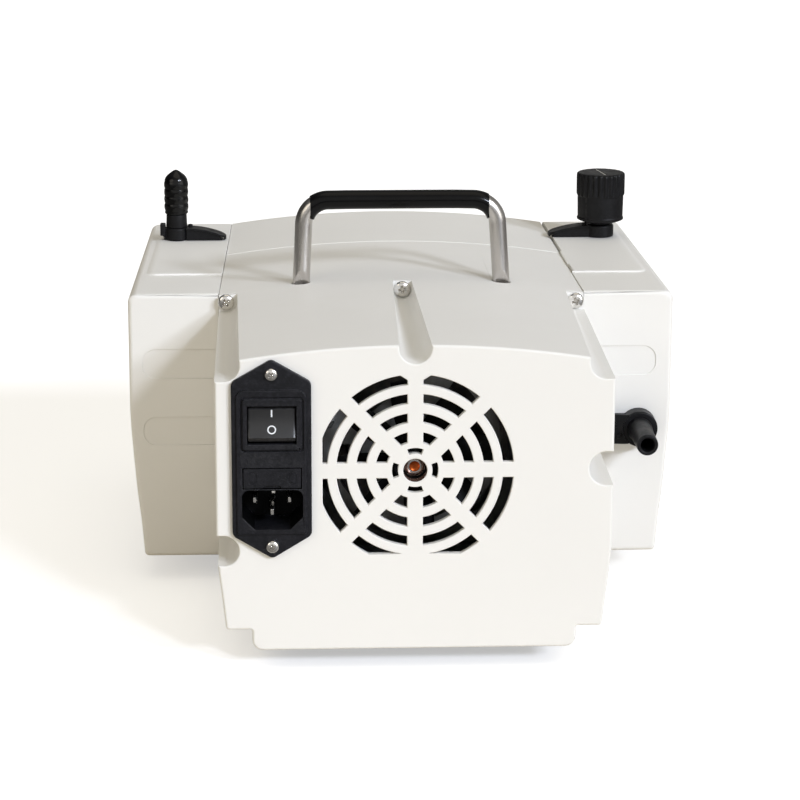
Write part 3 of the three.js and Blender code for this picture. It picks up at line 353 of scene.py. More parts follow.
def piece(ob, node, mats, body="housing", bevel=0.3, steps=2, angle=30, smooth=35,
          pick=None, where=None, weighted=False):
    """Finishes a mesh as the visual of one CAD piece.

    bevel, steps, angle: width, segments and least angle of the rounded edges
    smooth: edges sharper than this angle stay sharp
    pick: material index from a face's centre and normal
    where: test on an edge's middle; only the edges that it accepts are rounded
    weighted: weighted normals even without a bevel
    """
    ob.name = ob.data.name = "vis_" + node
    mesh = ob.data
    bm = bmesh.new()
    bm.from_mesh(mesh)
    bmesh.ops.remove_doubles(bm, verts=bm.verts, dist=3e-7)
    bmesh.ops.dissolve_degenerate(bm, dist=3e-7, edges=bm.edges)
    big = [face for face in bm.faces if len(face.verts) > 4]
    bmesh.ops.triangulate(bm, faces=big, quad_method="BEAUTY", ngon_method="BEAUTY")
    if where:
        layer = bm.edges.layers.float.new("bevel_weight_edge")
        for edge in bm.edges:
            if len(edge.link_faces) == 2 and edge.calc_face_angle(0) > radians(angle):
                if where(to_mm((edge.verts[0].co + edge.verts[1].co) / 2)):
                    edge[layer] = 1.0
    bm.to_mesh(mesh)
    bm.free()
    mesh.materials.clear()
    for mat in mats if isinstance(mats, list) else [mats]:
        mesh.materials.append(mat)
    for face in mesh.polygons:
        face.use_smooth = True
        face.material_index = pick(to_mm(face.center), face.normal) if pick else 0
    mesh.set_sharp_from_angle(angle=radians(smooth))
    if bevel:
        modifier = add_bevel(ob, bevel, steps, angle, clamp=False)
        modifier.limit_method = "WEIGHT" if where else "ANGLE"
        modifier.material = -1
    if weighted or bevel:
        modifier = ob.modifiers.new("normals", "WEIGHTED_NORMAL")
        modifier.mode = "FACE_AREA"
        modifier.weight = 100
        modifier.keep_sharp = True
    register(ob, node, body)


# ---------------------------------------------------------------- shader helpers


def feed(tree, target, inputs):
    """Sets a node's inputs, each to a value or to the output socket that drives it."""
    for socket, value in inputs.items():
        if isinstance(value, bpy.types.NodeSocket):
            tree.links.new(value, target.inputs[socket])
        else:
            target.inputs[socket].default_value = value


def add_node(tree, kind, inputs=None, **settings):
    made = tree.nodes.new("ShaderNode" + kind)
    for name, value in settings.items():
        setattr(made, name, value)
    feed(tree, made, inputs or {})
    return made


def remap(tree, value, source, target):
    """Maps the source range (low, high) to the target range."""
    inputs = {0: value, 1: source[0], 2: source[1], 3: target[0], 4: target[1]}
    return add_node(tree, "MapRange", inputs).outputs[0]


def mix(tree, factor, a, b):
    """Mixes two colours, each a socket or an (r, g, b)."""
    a, b = ((*colour, 1.0) if isinstance(colour, tuple) else colour for colour in (a, b))
    return add_node(tree, "Mix", {0: factor, 6: a, 7: b}, data_type="RGBA").outputs[2]


def calculate(tree, operation, a, b):
    return add_node(tree, "Math", {0: a, 1: b}, operation=operation).outputs[0]


def noise(tree, vector, scale, detail, roughness=0.5):
    inputs = {"Scale": scale, "Detail": detail, "Roughness": roughness, "Vector": vector}
    return add_node(tree, "TexNoise", inputs).outputs["Fac"]


# ---------------------------------------------------------------- materials

DUST_COLOUR = (0.36, 0.33, 0.28)


def material(name, colour, rough, tint, tint_scale, grain, grain_height, metal=0.0, tint_to=None,
             wave=0.0, wave_scale=None, rough_spread=0.12, wear=0.0, wear_colour=None,
             streak=None, spec=0.5, transmission=0.0, dust=0.0):
    """Colour patches and flecks, surface grain, uneven gloss, rubbed edges and dusty hollows.

    tint, tint_scale, tint_to: strength, noise scale and far colour of the patches
    grain, grain_height: noise scale and height in mm of the fine surface
    wave, wave_scale: height in mm and noise scale of the slow moulding wave
    rough_spread: width of the range of roughness
    wear, wear_colour: amount and colour of the rubbing on raised edges
    streak: stretch of the grain along X, Y and Z
    dust: amount of dust in hollows
    """
    mat = bpy.data.materials.new(name)
    mat.use_nodes = True
    tree = mat.node_tree
    tree.nodes.clear()
    bsdf = add_node(tree, "BsdfPrincipled")
    add_node(tree, "OutputMaterial", {0: bsdf.outputs[0]})
    plain = fine = add_node(tree, "TexCoord").outputs["Object"]
    if streak:
        fine = add_node(tree, "Mapping", {"Scale": streak, "Vector": plain}).outputs[0]

    far = tint_to or tuple(c * (1 - 2.2 * tint) for c in colour)
    halfway = tuple(c * 0.5 + f * 0.5 for c, f in zip(colour, far))
    patches = remap(tree, noise(tree, plain, tint_scale, 4.0), (0.38, 0.68), (0.0, 1.0))
    fleck_noise = noise(tree, fine, grain * 0.35, 2.0)
    flecks = remap(tree, fleck_noise, (0.45, 0.75), (0.0, min(1.0, tint * 5)))
    surface = mix(tree, flecks, mix(tree, patches, colour, halfway), far)

    gloss = noise(tree, fine, tint_scale * 1.7, 5.0, 0.6)
    rough_range = (max(0.02, rough - rough_spread / 2), min(1.0, rough + rough_spread / 2))
    roughness = remap(tree, gloss, (0.3, 0.7), rough_range)

    if dust or wear:
        # pointiness is 0.5 on flat ground, less in hollows and more on edges
        pointiness = add_node(tree, "NewGeometry").outputs["Pointiness"]
    if dust:
        hollow = remap(tree, pointiness, (0.5, 0.44), (0.0, dust))
        surface = mix(tree, hollow, surface, DUST_COLOUR)
    if wear:
        rub = remap(tree, pointiness, (0.53, 0.6), (0.0, 1.0))
        broken = remap(tree, noise(tree, plain, tint_scale * 6, 3.0), (0.4, 0.6), (0.15, 1.0))
        amount = calculate(tree, "MULTIPLY", calculate(tree, "MULTIPLY", rub, broken), wear)
        paler = wear_colour or tuple(min(1, c * 1.6 + 0.06) for c in colour)
        surface = mix(tree, amount, surface, paler)

    grain_noise = noise(tree, fine, grain, 2.0, 0.6)
    bump_inputs = {"Strength": 1.0, "Distance": grain_height / 1000, "Height": grain_noise}
    bump = add_node(tree, "Bump", bump_inputs)
    if wave:
        wave_noise = noise(tree, plain, wave_scale, 2.0)
        bump_inputs = {"Strength": 1.0, "Distance": wave / 1000, "Height": wave_noise}
        bump = add_node(tree, "Bump", {**bump_inputs, "Normal": bump.outputs[0]})
    feed(tree, bsdf, {
        "Base Color": surface,
        "Roughness": roughness,
        "Metallic": metal,
        "Specular IOR Level": spec,
        "Normal": bump.outputs[0],
    })
    if transmission:
        feed(tree, bsdf, {"Transmission Weight": transmission, "IOR": 1.5})
    return mat


SHELL = material(
    "shell_offwhite", colour=(0.83, 0.82, 0.785), rough=0.5, rough_spread=0.1, spec=0.4,
    tint=0.012, tint_scale=14, grain=2600, grain_height=0.006, wave=0.05, wave_scale=22,
    wear=0.25, wear_colour=(0.86, 0.85, 0.83),
)
BLACK = material(
    "black_textured", colour=(0.0066, 0.0070, 0.0088), rough=0.40, rough_spread=0.2, spec=0.26,
    tint=0.2, tint_to=(0.015, 0.015, 0.019), tint_scale=160, grain=1700, grain_height=0.2,
    wear=0.15, wear_colour=(0.075, 0.077, 0.082),
)
# Painted shade: the cover's inside is the same off-white plastic, coloured near black to stand in for
# the shade inside it
COVER_INSIDE_SHADE = material(
    "cover_inside_painted_shade", colour=(0.005, 0.005, 0.005), rough=0.75, rough_spread=0.1, spec=0.1,
    tint=0.1, tint_scale=60, grain=1800, grain_height=0.02,
)
# Painted shade: the socket's inside is the module's black plastic, coloured darker to stand in for the
# shade in its recess
SOCKET_SHADE = material(
    "socket_painted_shade", colour=(0.0016, 0.0016, 0.002), rough=0.5, rough_spread=0.1, spec=0.12,
    tint=0.1, tint_scale=200, grain=2000, grain_height=0.02,
)
ROCKER = material(
    "rocker_satin", colour=(0.021, 0.021, 0.022), rough=0.32, tint=0.06, tint_scale=90,
    grain=5200, grain_height=0.004, wear=0.5, wear_colour=(0.07, 0.07, 0.07),
)
MARK = material(
    "mark_white", colour=(0.8, 0.83, 0.86), rough=0.55, rough_spread=0.1,
    tint=0.05, tint_scale=400, grain=4000, grain_height=0.006,
)
FITTING = material(
    "fitting_nylon", colour=(0.0055, 0.0055, 0.006), rough=0.4, rough_spread=0.2, spec=0.17,
    tint=0.12, tint_to=(0.011, 0.011, 0.012), tint_scale=140, grain=2400, grain_height=0.02,
    wave=0.03, wave_scale=300, wear=0.3, wear_colour=(0.05, 0.05, 0.05),
)
VINYL = material(
    "vinyl_gloss", colour=(0.0012, 0.0012, 0.0014), rough=0.16, rough_spread=0.1, spec=0.30,
    tint=0.08, tint_scale=200, grain=1500, grain_height=0.01, wave=0.06, wave_scale=260,
    wear=0.3, wear_colour=(0.02, 0.02, 0.02),
)
SLEEVE = material(
    "sleeve_gloss", colour=(0.0014, 0.0014, 0.0018), rough=0.2, rough_spread=0.14, spec=0.2,
    tint=0.1, tint_scale=120, grain=1900, grain_height=0.008, wave=0.1, wave_scale=70,
    wear=0.3, wear_colour=(0.02, 0.02, 0.02),
)
POINTER = material(
    "pointer_fill", colour=(0.55, 0.54, 0.50), rough=0.6,
    tint=0.1, tint_scale=300, grain=3500, grain_height=0.01,
)
RUBBER = material(
    "rubber_matt", colour=(0.022, 0.022, 0.021), rough=0.8, rough_spread=0.15,
    tint=0.15, tint_to=(0.045, 0.044, 0.042), tint_scale=110, grain=1600, grain_height=0.03,
    dust=0.35, wear=0.4, wear_colour=(0.08, 0.078, 0.074),
)
STEEL = material(
    "steel_brushed", colour=(0.60, 0.575, 0.55), rough=0.24, rough_spread=0.16, metal=1,
    tint=0.06, tint_scale=60, grain=1500, grain_height=0.006, streak=(1.0, 1.0, 0.06),
    wave=0.02, wave_scale=90, wear=0.4, wear_colour=(0.78, 0.76, 0.73),
)
SHAFT = material(
    "shaft_ground", colour=(0.58, 0.57, 0.56), rough=0.25, rough_spread=0.14, metal=1,
    tint=0.06, tint_scale=120, grain=1400, grain_height=0.004, streak=(1.0, 0.05, 1.0), wear=0.3,
)
ZINC = material(
    "zinc_sheet", colour=(0.62, 0.63, 0.62), rough=0.42, rough_spread=0.25, metal=1,
    tint=0.1, tint_to=(0.50, 0.52, 0.53), tint_scale=70, grain=900, grain_height=0.006,
    wear=0.4, wear_colour=(0.75, 0.75, 0.74),
)
NICKEL = material(
    "screw_nickel", colour=(0.80, 0.78, 0.75), rough=0.17, metal=1,
    tint=0.05, tint_scale=300, grain=2400, grain_height=0.004, wave=0.012, wave_scale=500,
    dust=0.5, wear=0.4, wear_colour=(0.9, 0.89, 0.87),
)
PIN = material(
    "pin_plated", colour=(0.86, 0.84, 0.81), rough=0.22, rough_spread=0.14, metal=1,
    tint=0.06, tint_scale=260, grain=2600, grain_height=0.003, streak=(1, 0.1, 1), wear=0.3,
)
BEARING = material(
    "bearing_steel", colour=(0.66, 0.66, 0.66), rough=0.18, rough_spread=0.1, metal=1,
    tint=0.04, tint_scale=200, grain=2000, grain_height=0.003, wear=0.3,
)
ALLOY = material(
    "cast_alloy", colour=(0.60, 0.60, 0.59), rough=0.5, rough_spread=0.22, metal=1,
    tint=0.1, tint_to=(0.46, 0.46, 0.455), tint_scale=90, grain=700, grain_height=0.03,
    dust=0.3, wear=0.6, wear_colour=(0.75, 0.75, 0.74),
)
IRON = material(
    "laminated_iron", colour=(0.16, 0.16, 0.165), rough=0.5, rough_spread=0.25, metal=0.9,
    tint=0.15, tint_to=(0.26, 0.22, 0.19), tint_scale=70, grain=1100, grain_height=0.03,
    streak=(1, 9, 1), wear=0.5, wear_colour=(0.4, 0.4, 0.4),
)
FAN = material(
    "fan_black", colour=(0.0055, 0.0055, 0.006), rough=0.42, rough_spread=0.2, spec=0.14,
    tint=0.1, tint_to=(0.018, 0.018, 0.019), tint_scale=120, grain=2400, grain_height=0.012,
    wear=0.2, wear_colour=(0.03, 0.03, 0.03),
)
COPPER = material(
    "copper_centre", colour=(0.50, 0.10, 0.012), rough=0.34, rough_spread=0.2, metal=0.75,
    tint=0.15, tint_to=(0.30, 0.045, 0.006), tint_scale=500, grain=2600, grain_height=0.01,
    wear=0.2,
)
BRONZE = material(
    "bronze_liner", colour=(0.36, 0.25, 0.21), rough=0.26, rough_spread=0.2, metal=0.85,
    tint=0.12, tint_to=(0.20, 0.13, 0.10), tint_scale=220, grain=1600, grain_height=0.006,
    streak=(1, 0.08, 1), wear=0.3,
)
GLASS = material(
    "fuse_glass", colour=(0.86, 0.9, 0.9), rough=0.05, rough_spread=0.04, transmission=0.9,
    tint=0.02, tint_scale=200, grain=2500, grain_height=0.002,
)

# ---------------------------------------------------------------- motor cover


def cover_outline(y):
    """Section of the cover; its crowned top rises and flattens a little towards +Y."""
    rise = 1.4 * y / COVER_DEPTH
    crown = 0.00114 - 0.00012 * y / COVER_DEPTH

    def top(x):
        return 51.6 + rise - crown * x * x

    # x, z, corner radius
    corners = [
        (40, -75.3, 0), (65.8, -75.3, 5.2), (65.8, -66.4, 0.9), (76.3, -66.4, 1.4),
        (77.4, -56, 60), (78.8, -44, 60), (79.8, -35, 80), (79.8, 44.9 + rise, 5.2),
        (70, top(70), 0),
    ]
    half = fillet(corners, 7) + [(x, top(x)) for x in range(65, 0, -5)]
    return half + [(0, top(0))] + [(-x, z) for x, z in reversed(half)]


# Open channels that lead to the cover's screws: kind, side, then (x, z, radius) of the round
# floor at the cover's face and at the channel's end
CHANNELS = [
    ("corner", 1, (76.3, 43.6, 6.5), (76, 44, 4.3)),
    ("corner", -1, (76.3, 43.6, 6.5), (76, 44, 4.3)),
    ("centre", 1, (0, 50.3, 6.5), (0, 49.3, 4.1)),
    ("edge", -1, (77, -33, 6.3), (76, -33, 4.3)),
    ("edge", 1, (77, 0, 7.0), (76, 0, 4.3)),
]
CHANNEL_OUT_X, CHANNEL_OUT_Z = 98, 64  # the channels' outlines end here, outside the cover


def channel_outline(kind, side, x, z, radius):
    if kind == "centre":
        points = arc(x, z, radius, 180, 360, 30)
        points += [(radius, CHANNEL_OUT_Z), (-radius, CHANNEL_OUT_Z)]
    elif kind == "corner":
        points = arc(x, z, radius, 180, 270, 18)
        points += [(CHANNEL_OUT_X, z - radius), (CHANNEL_OUT_X, CHANNEL_OUT_Z)]
        points += [(x - radius, CHANNEL_OUT_Z)]
    else:
        points = arc(x, z, radius, 90, 270, 30)
        points += [(CHANNEL_OUT_X, z - radius), (CHANNEL_OUT_X, z + radius)]
    return [(side * px, pz) for px, pz in points]


def channel(row, grow, start, end, mouth=0.0):
    """Cutter for a channel. grow adds to its radius; mouth rounds its edge at the cover's face."""
    kind, side, (face_x, face_z, face_radius), (end_x, end_z, end_radius) = row
    levels = [(start, grow + mouth)]
    if mouth:
        levels += [(y, grow + wider) for y, wider in quarter(mouth, 4)]
    rings = [
        section(channel_outline(kind, side, face_x, face_z, face_radius + wider), y)
        for y, wider in levels
    ]
    rings.append(section(channel_outline(kind, side, end_x, end_z, end_radius + grow), end))
    return loft(rings)


def grille_slot(outline, chamfer=0.26):
    levels = ((-1, -chamfer), (0, -chamfer), (chamfer, 0), (WALL + 1, 0))
    return inset_loft(outline, levels)


def grille_cutters():
    """Slots of the air grille, each with a small chamfer at the face."""
    slots = []
    for inner, outer in GRILLE_RINGS:
        spoke_in, spoke_out = (degrees(asin(SPOKE_WIDTH / 2 / r)) for r in (inner, outer))
        for s in range(8):
            a = s * 45
            outline = arc(0, 0, outer, a + spoke_out, a + 45 - spoke_out, 12)
            outline += arc(0, 0, inner, a + 45 - spoke_in, a + spoke_in, 12)
            if (inner, outer) == GRILLE_RINGS[-1]:
                if s in (3, 4):
                    outline = clip(outline, 1, 0, -37.1)
                if s in (4, 5, 6, 7):
                    outline = clip(outline, 0, 1, -34.9)
                if s in (1, 2):
                    # the two top slots end in a small slant beside the upright spoke
                    side = 1 if s == 1 else -1
                    outline = clip(outline, 2.1 * side, -3.3, 2.1 * 2.9 - 3.3 * 37.1)
            slots.append(grille_slot(outline))
    for a in (0, 90, 180, 270):
        outline = arc(0, 0, 9.3, a - 21, a + 21, 10) + arc(0, 0, 6.9, a + 21, a - 21, 10)
        slots.append(grille_slot(outline, 0.15))
    return merge(slots)


def cover_material(centre, normal):
    """0 shell, 1 lined hub bore, 2 inside faces and back of the grille, painted near black as shade."""
    x, y, z = centre
    radius = hypot(x, z)
    if radius < HUB_RADIUS + 0.05 and y > 0.05:
        return 1
    if min(hypot(x - sx, z - sz) for sx, sz, _ in COVER_SCREWS.values()) < 11:
        return 0
    # faces inside the cover and behind the grille take the painted shade
    inward = x * normal[0] + z * normal[2] < -0.35 * radius and y > WALL + 0.1
    back_of_grille = normal[1] > 0.7 and WALL - 0.3 < y < 6 and radius < 70
    return 2 if inward or back_of_grille else 0


def build_cover():
    rings = [section(inset(cover_outline(y), d), y) for y, d in quarter(1.1, 5)]
    rings.append(section(cover_outline(COVER_DEPTH), COVER_DEPTH))
    cover = loft(rings)
    depths = (WALL, COVER_DEPTH + 1)
    cavity = loft([section(inset(cover_outline(y), WALL), y) for y in depths])
    for row in CHANNELS:
        cavity = cut(cavity, channel(row, 2.4, 0, COVER_DEPTH + 2))
    cover = cut(cover, cavity)
    low, high = HUB_RADIUS - 0.6, HUB_RADIUS + 1.8
    hub = [(low, WALL - 0.6), (high, WALL - 0.6), (high, 5), (low, 5)]
    cover = join(cover, lathe("y", hub, 0, 0, 48, ring=True))
    for row in CHANNELS:
        cover = cut(cover, channel(row, 0, -1, CHANNEL_END, 0.7))
    bore_radius = HUB_RADIUS + 0.3
    bore = [(0, -1), (bore_radius, -1), (bore_radius, 0), (HUB_RADIUS, 0.3), (HUB_RADIUS, 8), (0, 8)]
    x0, x1, z0, z1 = MODULE_BODY
    cover = cut(
        cover,
        grille_cutters(),
        lathe("y", bore, 0, 0, 64),
        box(-60, 60, WALL, COVER_DEPTH + 1, -90, -70),  # open underside
        box(x0 - MODULE_GAP, x1 + MODULE_GAP, -1, WALL + 1, z0 - MODULE_GAP, z1 + MODULE_GAP),
        *[rod("y", 1.8, -1, 6, x, z, 24) for x, z, _ in MODULE_SCREWS.values()],
        *[
            rod("y", 2, CHANNEL_END - 3, COVER_DEPTH + 2, x, z, 24)
            for x, z, _ in COVER_SCREWS.values()
        ],
    )
    mats = [SHELL, BRONZE, COVER_INSIDE_SHADE]
    piece(cover, "motor_cover", mats, bevel=0, pick=cover_material, weighted=True)


build_cover()

# ---------------------------------------------------------------- centre section

FRONT_LIFT = 0.12  # the front part stands this much above the rear one
FRONT_FOOT_Z = -69.6


def deck_z(x, lift=0.0):
    return 53 + lift - 0.00102 * x * x


def deck_section(y, half, lift, drop, foot):
    """Crowned section from -half to half, lowered by drop and closed at the height foot."""
    xs = [(1 - i / 20) * half for i in range(41)]
    return [(x, y, deck_z(x, lift) - drop) for x in xs] + [(-half, y, foot), (half, y, foot)]


def deck_ring(y, lift, drop, foot):
    return deck_section(y, seam_x(y) - 0.1 - drop * 0.8, lift, drop, foot)


def deck_hollow(y, lift, foot):
    return deck_section(y, seam_x(y) - 2.8, lift, 2.5, foot)


def screw_bore(name, radius, start, end):
    x, z, _ = COVER_SCREWS[name]
    return rod("y", radius, start, end, x, z, 24)


def build_center_cover_rear():
    y0, y1 = COVER_DEPTH + 0.04, CROSS_SEAM_Y
    deck = loft([deck_ring(y, 0, 0, 38) for y in (y0, y1)])
    deck = cut(deck, loft([deck_hollow(y, 0, 30) for y in (y0 - 1, y1 + 1)]))
    deck = join(deck, rod("y", 3.8, y0, 125.7, 0, 48.9, 32))
    deck = cut(
        deck,
        screw_bore("top_center", 2, y0 - 1, 127),
        screw_bore("top_right", 2.2, y0 - 1, 127),
        screw_bore("top_left", 2.2, y0 - 1, 127),
        *[rod("z", HANDLE_RADIUS + 0.4, 30, 60, x, HANDLE_Y, 40) for x in (HANDLE_X, -HANDLE_X)],
    )
    piece(deck, "center_cover_rear", SHELL, bevel=0.2, where=lambda c: c[1] > y0 + 0.3)


def build_center_cover_front():
    y0 = CROSS_SEAM_Y + 0.25
    rings = [deck_ring(y0, FRONT_LIFT, 0, FRONT_FOOT_Z)]
    for y, drop in reversed(quarter(3.0, 6)):
        rings.append(deck_ring(BODY_FRONT - y, FRONT_LIFT, drop, FRONT_FOOT_Z))
    deck = loft(rings)
    hollow = loft([deck_hollow(y, FRONT_LIFT, -80) for y in (y0 - 1, BODY_FRONT - WALL)])
    vents = []
    for x in range(-50, 51, 20):
        for z in (-42.25, -52.25):
            outline = rounded(x - 7, x + 7, z - 1.75, z + 1.75, 1.7, 6)
            vents.append(prism("xz", outline, BODY_FRONT - 6, BODY_FRONT + 1))
    opening = box(-90, 90, y0 - 1, BODY_FRONT - WALL, -80, 38)
    deck = cut(deck, hollow, opening, merge(vents))

    def off_vents(c):
        return not (-56 < c[2] < -38 and c[1] > BODY_FRONT - 6)

    piece(deck, "center_cover_front", SHELL, bevel=0.25, where=off_vents)


build_center_cover_rear()
build_center_cover_front()

# ---------------------------------------------------------------- side covers


def side_outline(y, drawn_in, low, high):
    """Section of the right cover; low and high are the inner ends of its floor and its top."""
    draft = 4 * (y - COVER_DEPTH) / (BODY_FRONT - COVER_DEPTH)
    floor, top = BODY_BOTTOM + drawn_in, BODY_TOP - drawn_in
    # x, z, corner radius
    corners = [
        (low, floor, 0), (114.2, floor, 2.0), (115.5, -56, 60), (117.1, -42, 80),
        (118.3, -26.5, 90), (119.5, -9, 120), (119.5, top, 3.9), (high, top, 0),
        (high, 36, 0), (low, 30, 0),
    ]
    return [
        (x - (draft + drawn_in) * min(1, max(0, (x - 90) / 20)), z) for x, z in fillet(corners, 9)
    ]


def raised_field(side):
    """Raised field between the seam and the outer rounding, with a drafted rim."""
    # height above the top, spread of the outer edge, inset
    levels = (
        (-1, 0.8, 0), (0.0, 0.8, 0.0), (0.3, 0.1, 0.06), (0.55, -0.7, 0.12), (0.72, -1.5, 0.22),
        (FIELD_RISE, -2.4, 0.5),
    )
    rings = []
    for up, spread, drawn_in in levels:
        corners = [
            (side * (seam_x(158) - 1.5), 158.15, 0),
            (side * (112.6 + spread), 157.85, 4.2),
            (side * (109.6 + spread), BODY_FRONT - 5, 3.5),
            (side * (seam_x(276) - 1.5), BODY_FRONT - 5, 0),
        ]
        rings.append(section(inset(fillet(corners, 8), drawn_in), BODY_TOP + up, "xy"))
    return loft(rings)


def side_dent(x0, x1, z0, z1):
    """Cutter for a shallow rounded dent in the side cover's rear face."""
    return prism("xz", rounded(x0, x1, z0, z1, 5.6), COVER_DEPTH - 1, COVER_DEPTH + 0.75)


def left_cutters():
    return [
        rod("z", 4.3, 40, 60, *INLET, 32),
        side_dent(-113.6, -66, 9.1, 22.2),
        screw_bore("lower_left", 2.2, COVER_DEPTH - 1, 128),
        side_dent(-113.6, -66, -21.1, -8.3),
    ]


def right_cutters():
    near, mid = seam_x(158), seam_x(175)
    # a wider gap along the front half of the seam
    gap = [(seam_x(203) - 1, 203), (seam_x(203) + 0.95, 203), (77.0, 282), (74, 282)]
    # a short relief beside the raised field
    relief = [(near - 1, 158.6), (near + 0.75, 158.6), (mid + 0.7, 175), (mid - 1, 175)]
    return [
        rod("z", 4.3, 40, 60, *REGULATOR, 32),
        side_dent(66, 112.4, 9.1, 22.2),
        screw_bore("lower_right", 2.2, COVER_DEPTH - 1, 128),
        rod("y", 4.3, COVER_DEPTH - 1, 128, *OUTLET, 32),
        prism("xy", gap, 42, 52),
        prism("xy", relief, 45.6, 52),
    ]


def build_side(side, node, fit_cutters):
    low = 76.3

    def ring(y, drawn_in, inner_low, inner_high):
        outline = side_outline(y, drawn_in, inner_low, inner_high)
        return [(side * x, y, z) for x, z in outline]

    levels = [(COVER_DEPTH + 0.3 + y, d) for y, d in quarter(2.0, 6)]
    levels += [(BODY_FRONT - y, d) for y, d in reversed(quarter(2.6, 6))]
    cover = loft([ring(y, d, low, seam_x(y) + 0.06) for y, d in levels])
    depths = (COVER_DEPTH + WALL + 0.3, BODY_FRONT - WALL)
    cover = cut(cover, loft([ring(y, WALL, low - 6, low - 5.9) for y in depths]))
    cover = join(cover, raised_field(side))
    # trims the top along the seam
    trim = [
        (60 * side, 100), (side * (seam_x(100) + 0.12), 100),
        (side * (seam_x(300) + 0.12), 300), (60 * side, 300),
    ]
    cover = cut(cover, prism("xy", trim, 37, 60), *fit_cutters())
    piece(cover, node, SHELL, bevel=0.18)


build_side(-1, "side_cover_left", left_cutters)
build_side(1, "side_cover_right", right_cutters)

# ---------------------------------------------------------------- chassis and feet


def build_base():
    # x, y, corner radius
    corners = [
        (-61, 4, 3), (61, 4, 3), (61, 118.6, 1), (75.6, 118.6, 3),
        (75.6, 278, 4), (-75.6, 278, 4), (-75.6, 118.6, 3), (-61, 118.6, 1),
    ]
    plate = prism("xy", fillet(corners, 6), -72, -70)
    slots = [
        prism("xy", rounded(x - 2.5, x + 2.5, 70, 110, 2.4, 6), -73, -69)
        for x in range(-36, 37, 12)
    ]
    piece(cut(plate, merge(slots)), "base_plate", ZINC, bevel=0.3)


def build_foot(node, x, y):
    round_edge = [
        (7.9 + 1.2 * sin(pi / 2 * i / 6), -82.1 - 1.2 * cos(pi / 2 * i / 6)) for i in range(1, 7)
    ]
    # radius, z
    profile = [
        (0, -79.3), (3.1, -79.3), (3.1, -80.9), (3.5, -81.3), (3.5, -83.0), (3.9, -83.3),
        (7.9, -83.3), *round_edge, (9.4, -79.5), (9.6, -77.9), (9.4, -77.5), (9.7, -77.2),
        (10, -74.0), (9.8, -72.5), (9.4, -72.3), (0, -72.3),
    ]
    piece(lathe("z", profile, x, y, 56), node, RUBBER, bevel=0.12, steps=1)


build_base()
for row_name, foot_x, foot_y in (("rear", 46, 36), ("front", 60, 255)):
    build_foot(f"foot_{row_name}_left", -foot_x, foot_y)
    build_foot(f"foot_{row_name}_right", foot_x, foot_y)

# ---------------------------------------------------------------- screws

THREAD_PITCH = 0.7


def screw_cross(x, z, length, width, turn):
    """Outline of the drive cross, with half length and half width of its arms."""
    inner = width * 1.25
    arm = [(length, width), (inner, inner), (width, length)]
    points = arm + [(-p, q) for p, q in reversed(arm)]
    points += [(-p, -q) for p, q in arm] + [(p, -q) for p, q in reversed(arm)]
    c, s = cos(turn), sin(turn)
    return [(x + c * p - s * q, z + s * p + c * q) for p, q in points]


def pan_screw(node, x, y, z, radius, shank, length, turn):
    """A screw along Y; y is the underside of its domed head, which faces -Y."""
    height = radius * 0.6
    profile = [(0, y - height)]
    for i in range(1, 9):
        angle = pi / 2 * i / 9
        dome = y - 0.22 * radius - (height - 0.22 * radius) * cos(angle)
        profile.append((radius * 0.985 * sin(angle), dome))
    profile += [(radius, y - 0.22 * radius), (radius, y - 0.08 * radius)]
    profile += [(radius * 0.96, y), (shank, y)]
    for i in range(int((length - 0.8) / THREAD_PITCH * 2)):
        profile.append((shank * (0.82 if i % 2 else 1.0), y + 0.8 + i * THREAD_PITCH / 2))
    profile.append((0, y + length))
    screw = lathe("y", profile, x, z, 48)
    # y, half length and half width of the arms as shares of the head's radius
    levels = (
        (y - height - 0.6, 0.60, 0.155), (y - height, 0.54, 0.135), (y - height * 0.2, 0.22, 0.085)
    )
    drive = loft(
        [section(screw_cross(x, z, radius * a, radius * b, turn), depth) for depth, a, b in levels]
    )
    piece(cut(screw, drive), node, NICKEL, bevel=0.07, angle=34, smooth=50)


for screw_name, (sx, sz, screw_turn) in COVER_SCREWS.items():
    pan_screw(
        "cover_screw_" + screw_name, sx, CHANNEL_END - 0.05, sz,
        radius=3.5, shank=1.6, length=9.5, turn=screw_turn,
    )
for screw_name, (sx, sz, screw_turn) in MODULE_SCREWS.items():
    pan_screw(
        "module_screw_" + screw_name, sx, -2.1, sz,
        radius=2.55, shank=1.4, length=9, turn=screw_turn,
    )

# ---------------------------------------------------------------- handle

BEND_LEFT, BEND_RIGHT = -42.6 + HANDLE_BEND, 41.9 - HANDLE_BEND
BEND_Z = HANDLE_BAR_Z - HANDLE_BEND


def tube_rings(path, radius, seg=48):
    """Round rings along a path in the handle's XZ plane.

    radius: a function of (share of the length, angle).
    """
    rings, last = [], len(path) - 1
    for i, (x, z) in enumerate(path):
        along = Vector(path[min(last, i + 1)]) - Vector(path[max(0, i - 1)])
        along.normalize()
        ring = []
        for k in range(seg):
            angle = 2 * pi * k / seg
            r = radius(i / last, angle)
            px, pz = x - along.y * r * cos(angle), z + along.x * r * cos(angle)
            ring.append((px, HANDLE_Y + r * sin(angle), pz))
        rings.append(ring)
    return rings


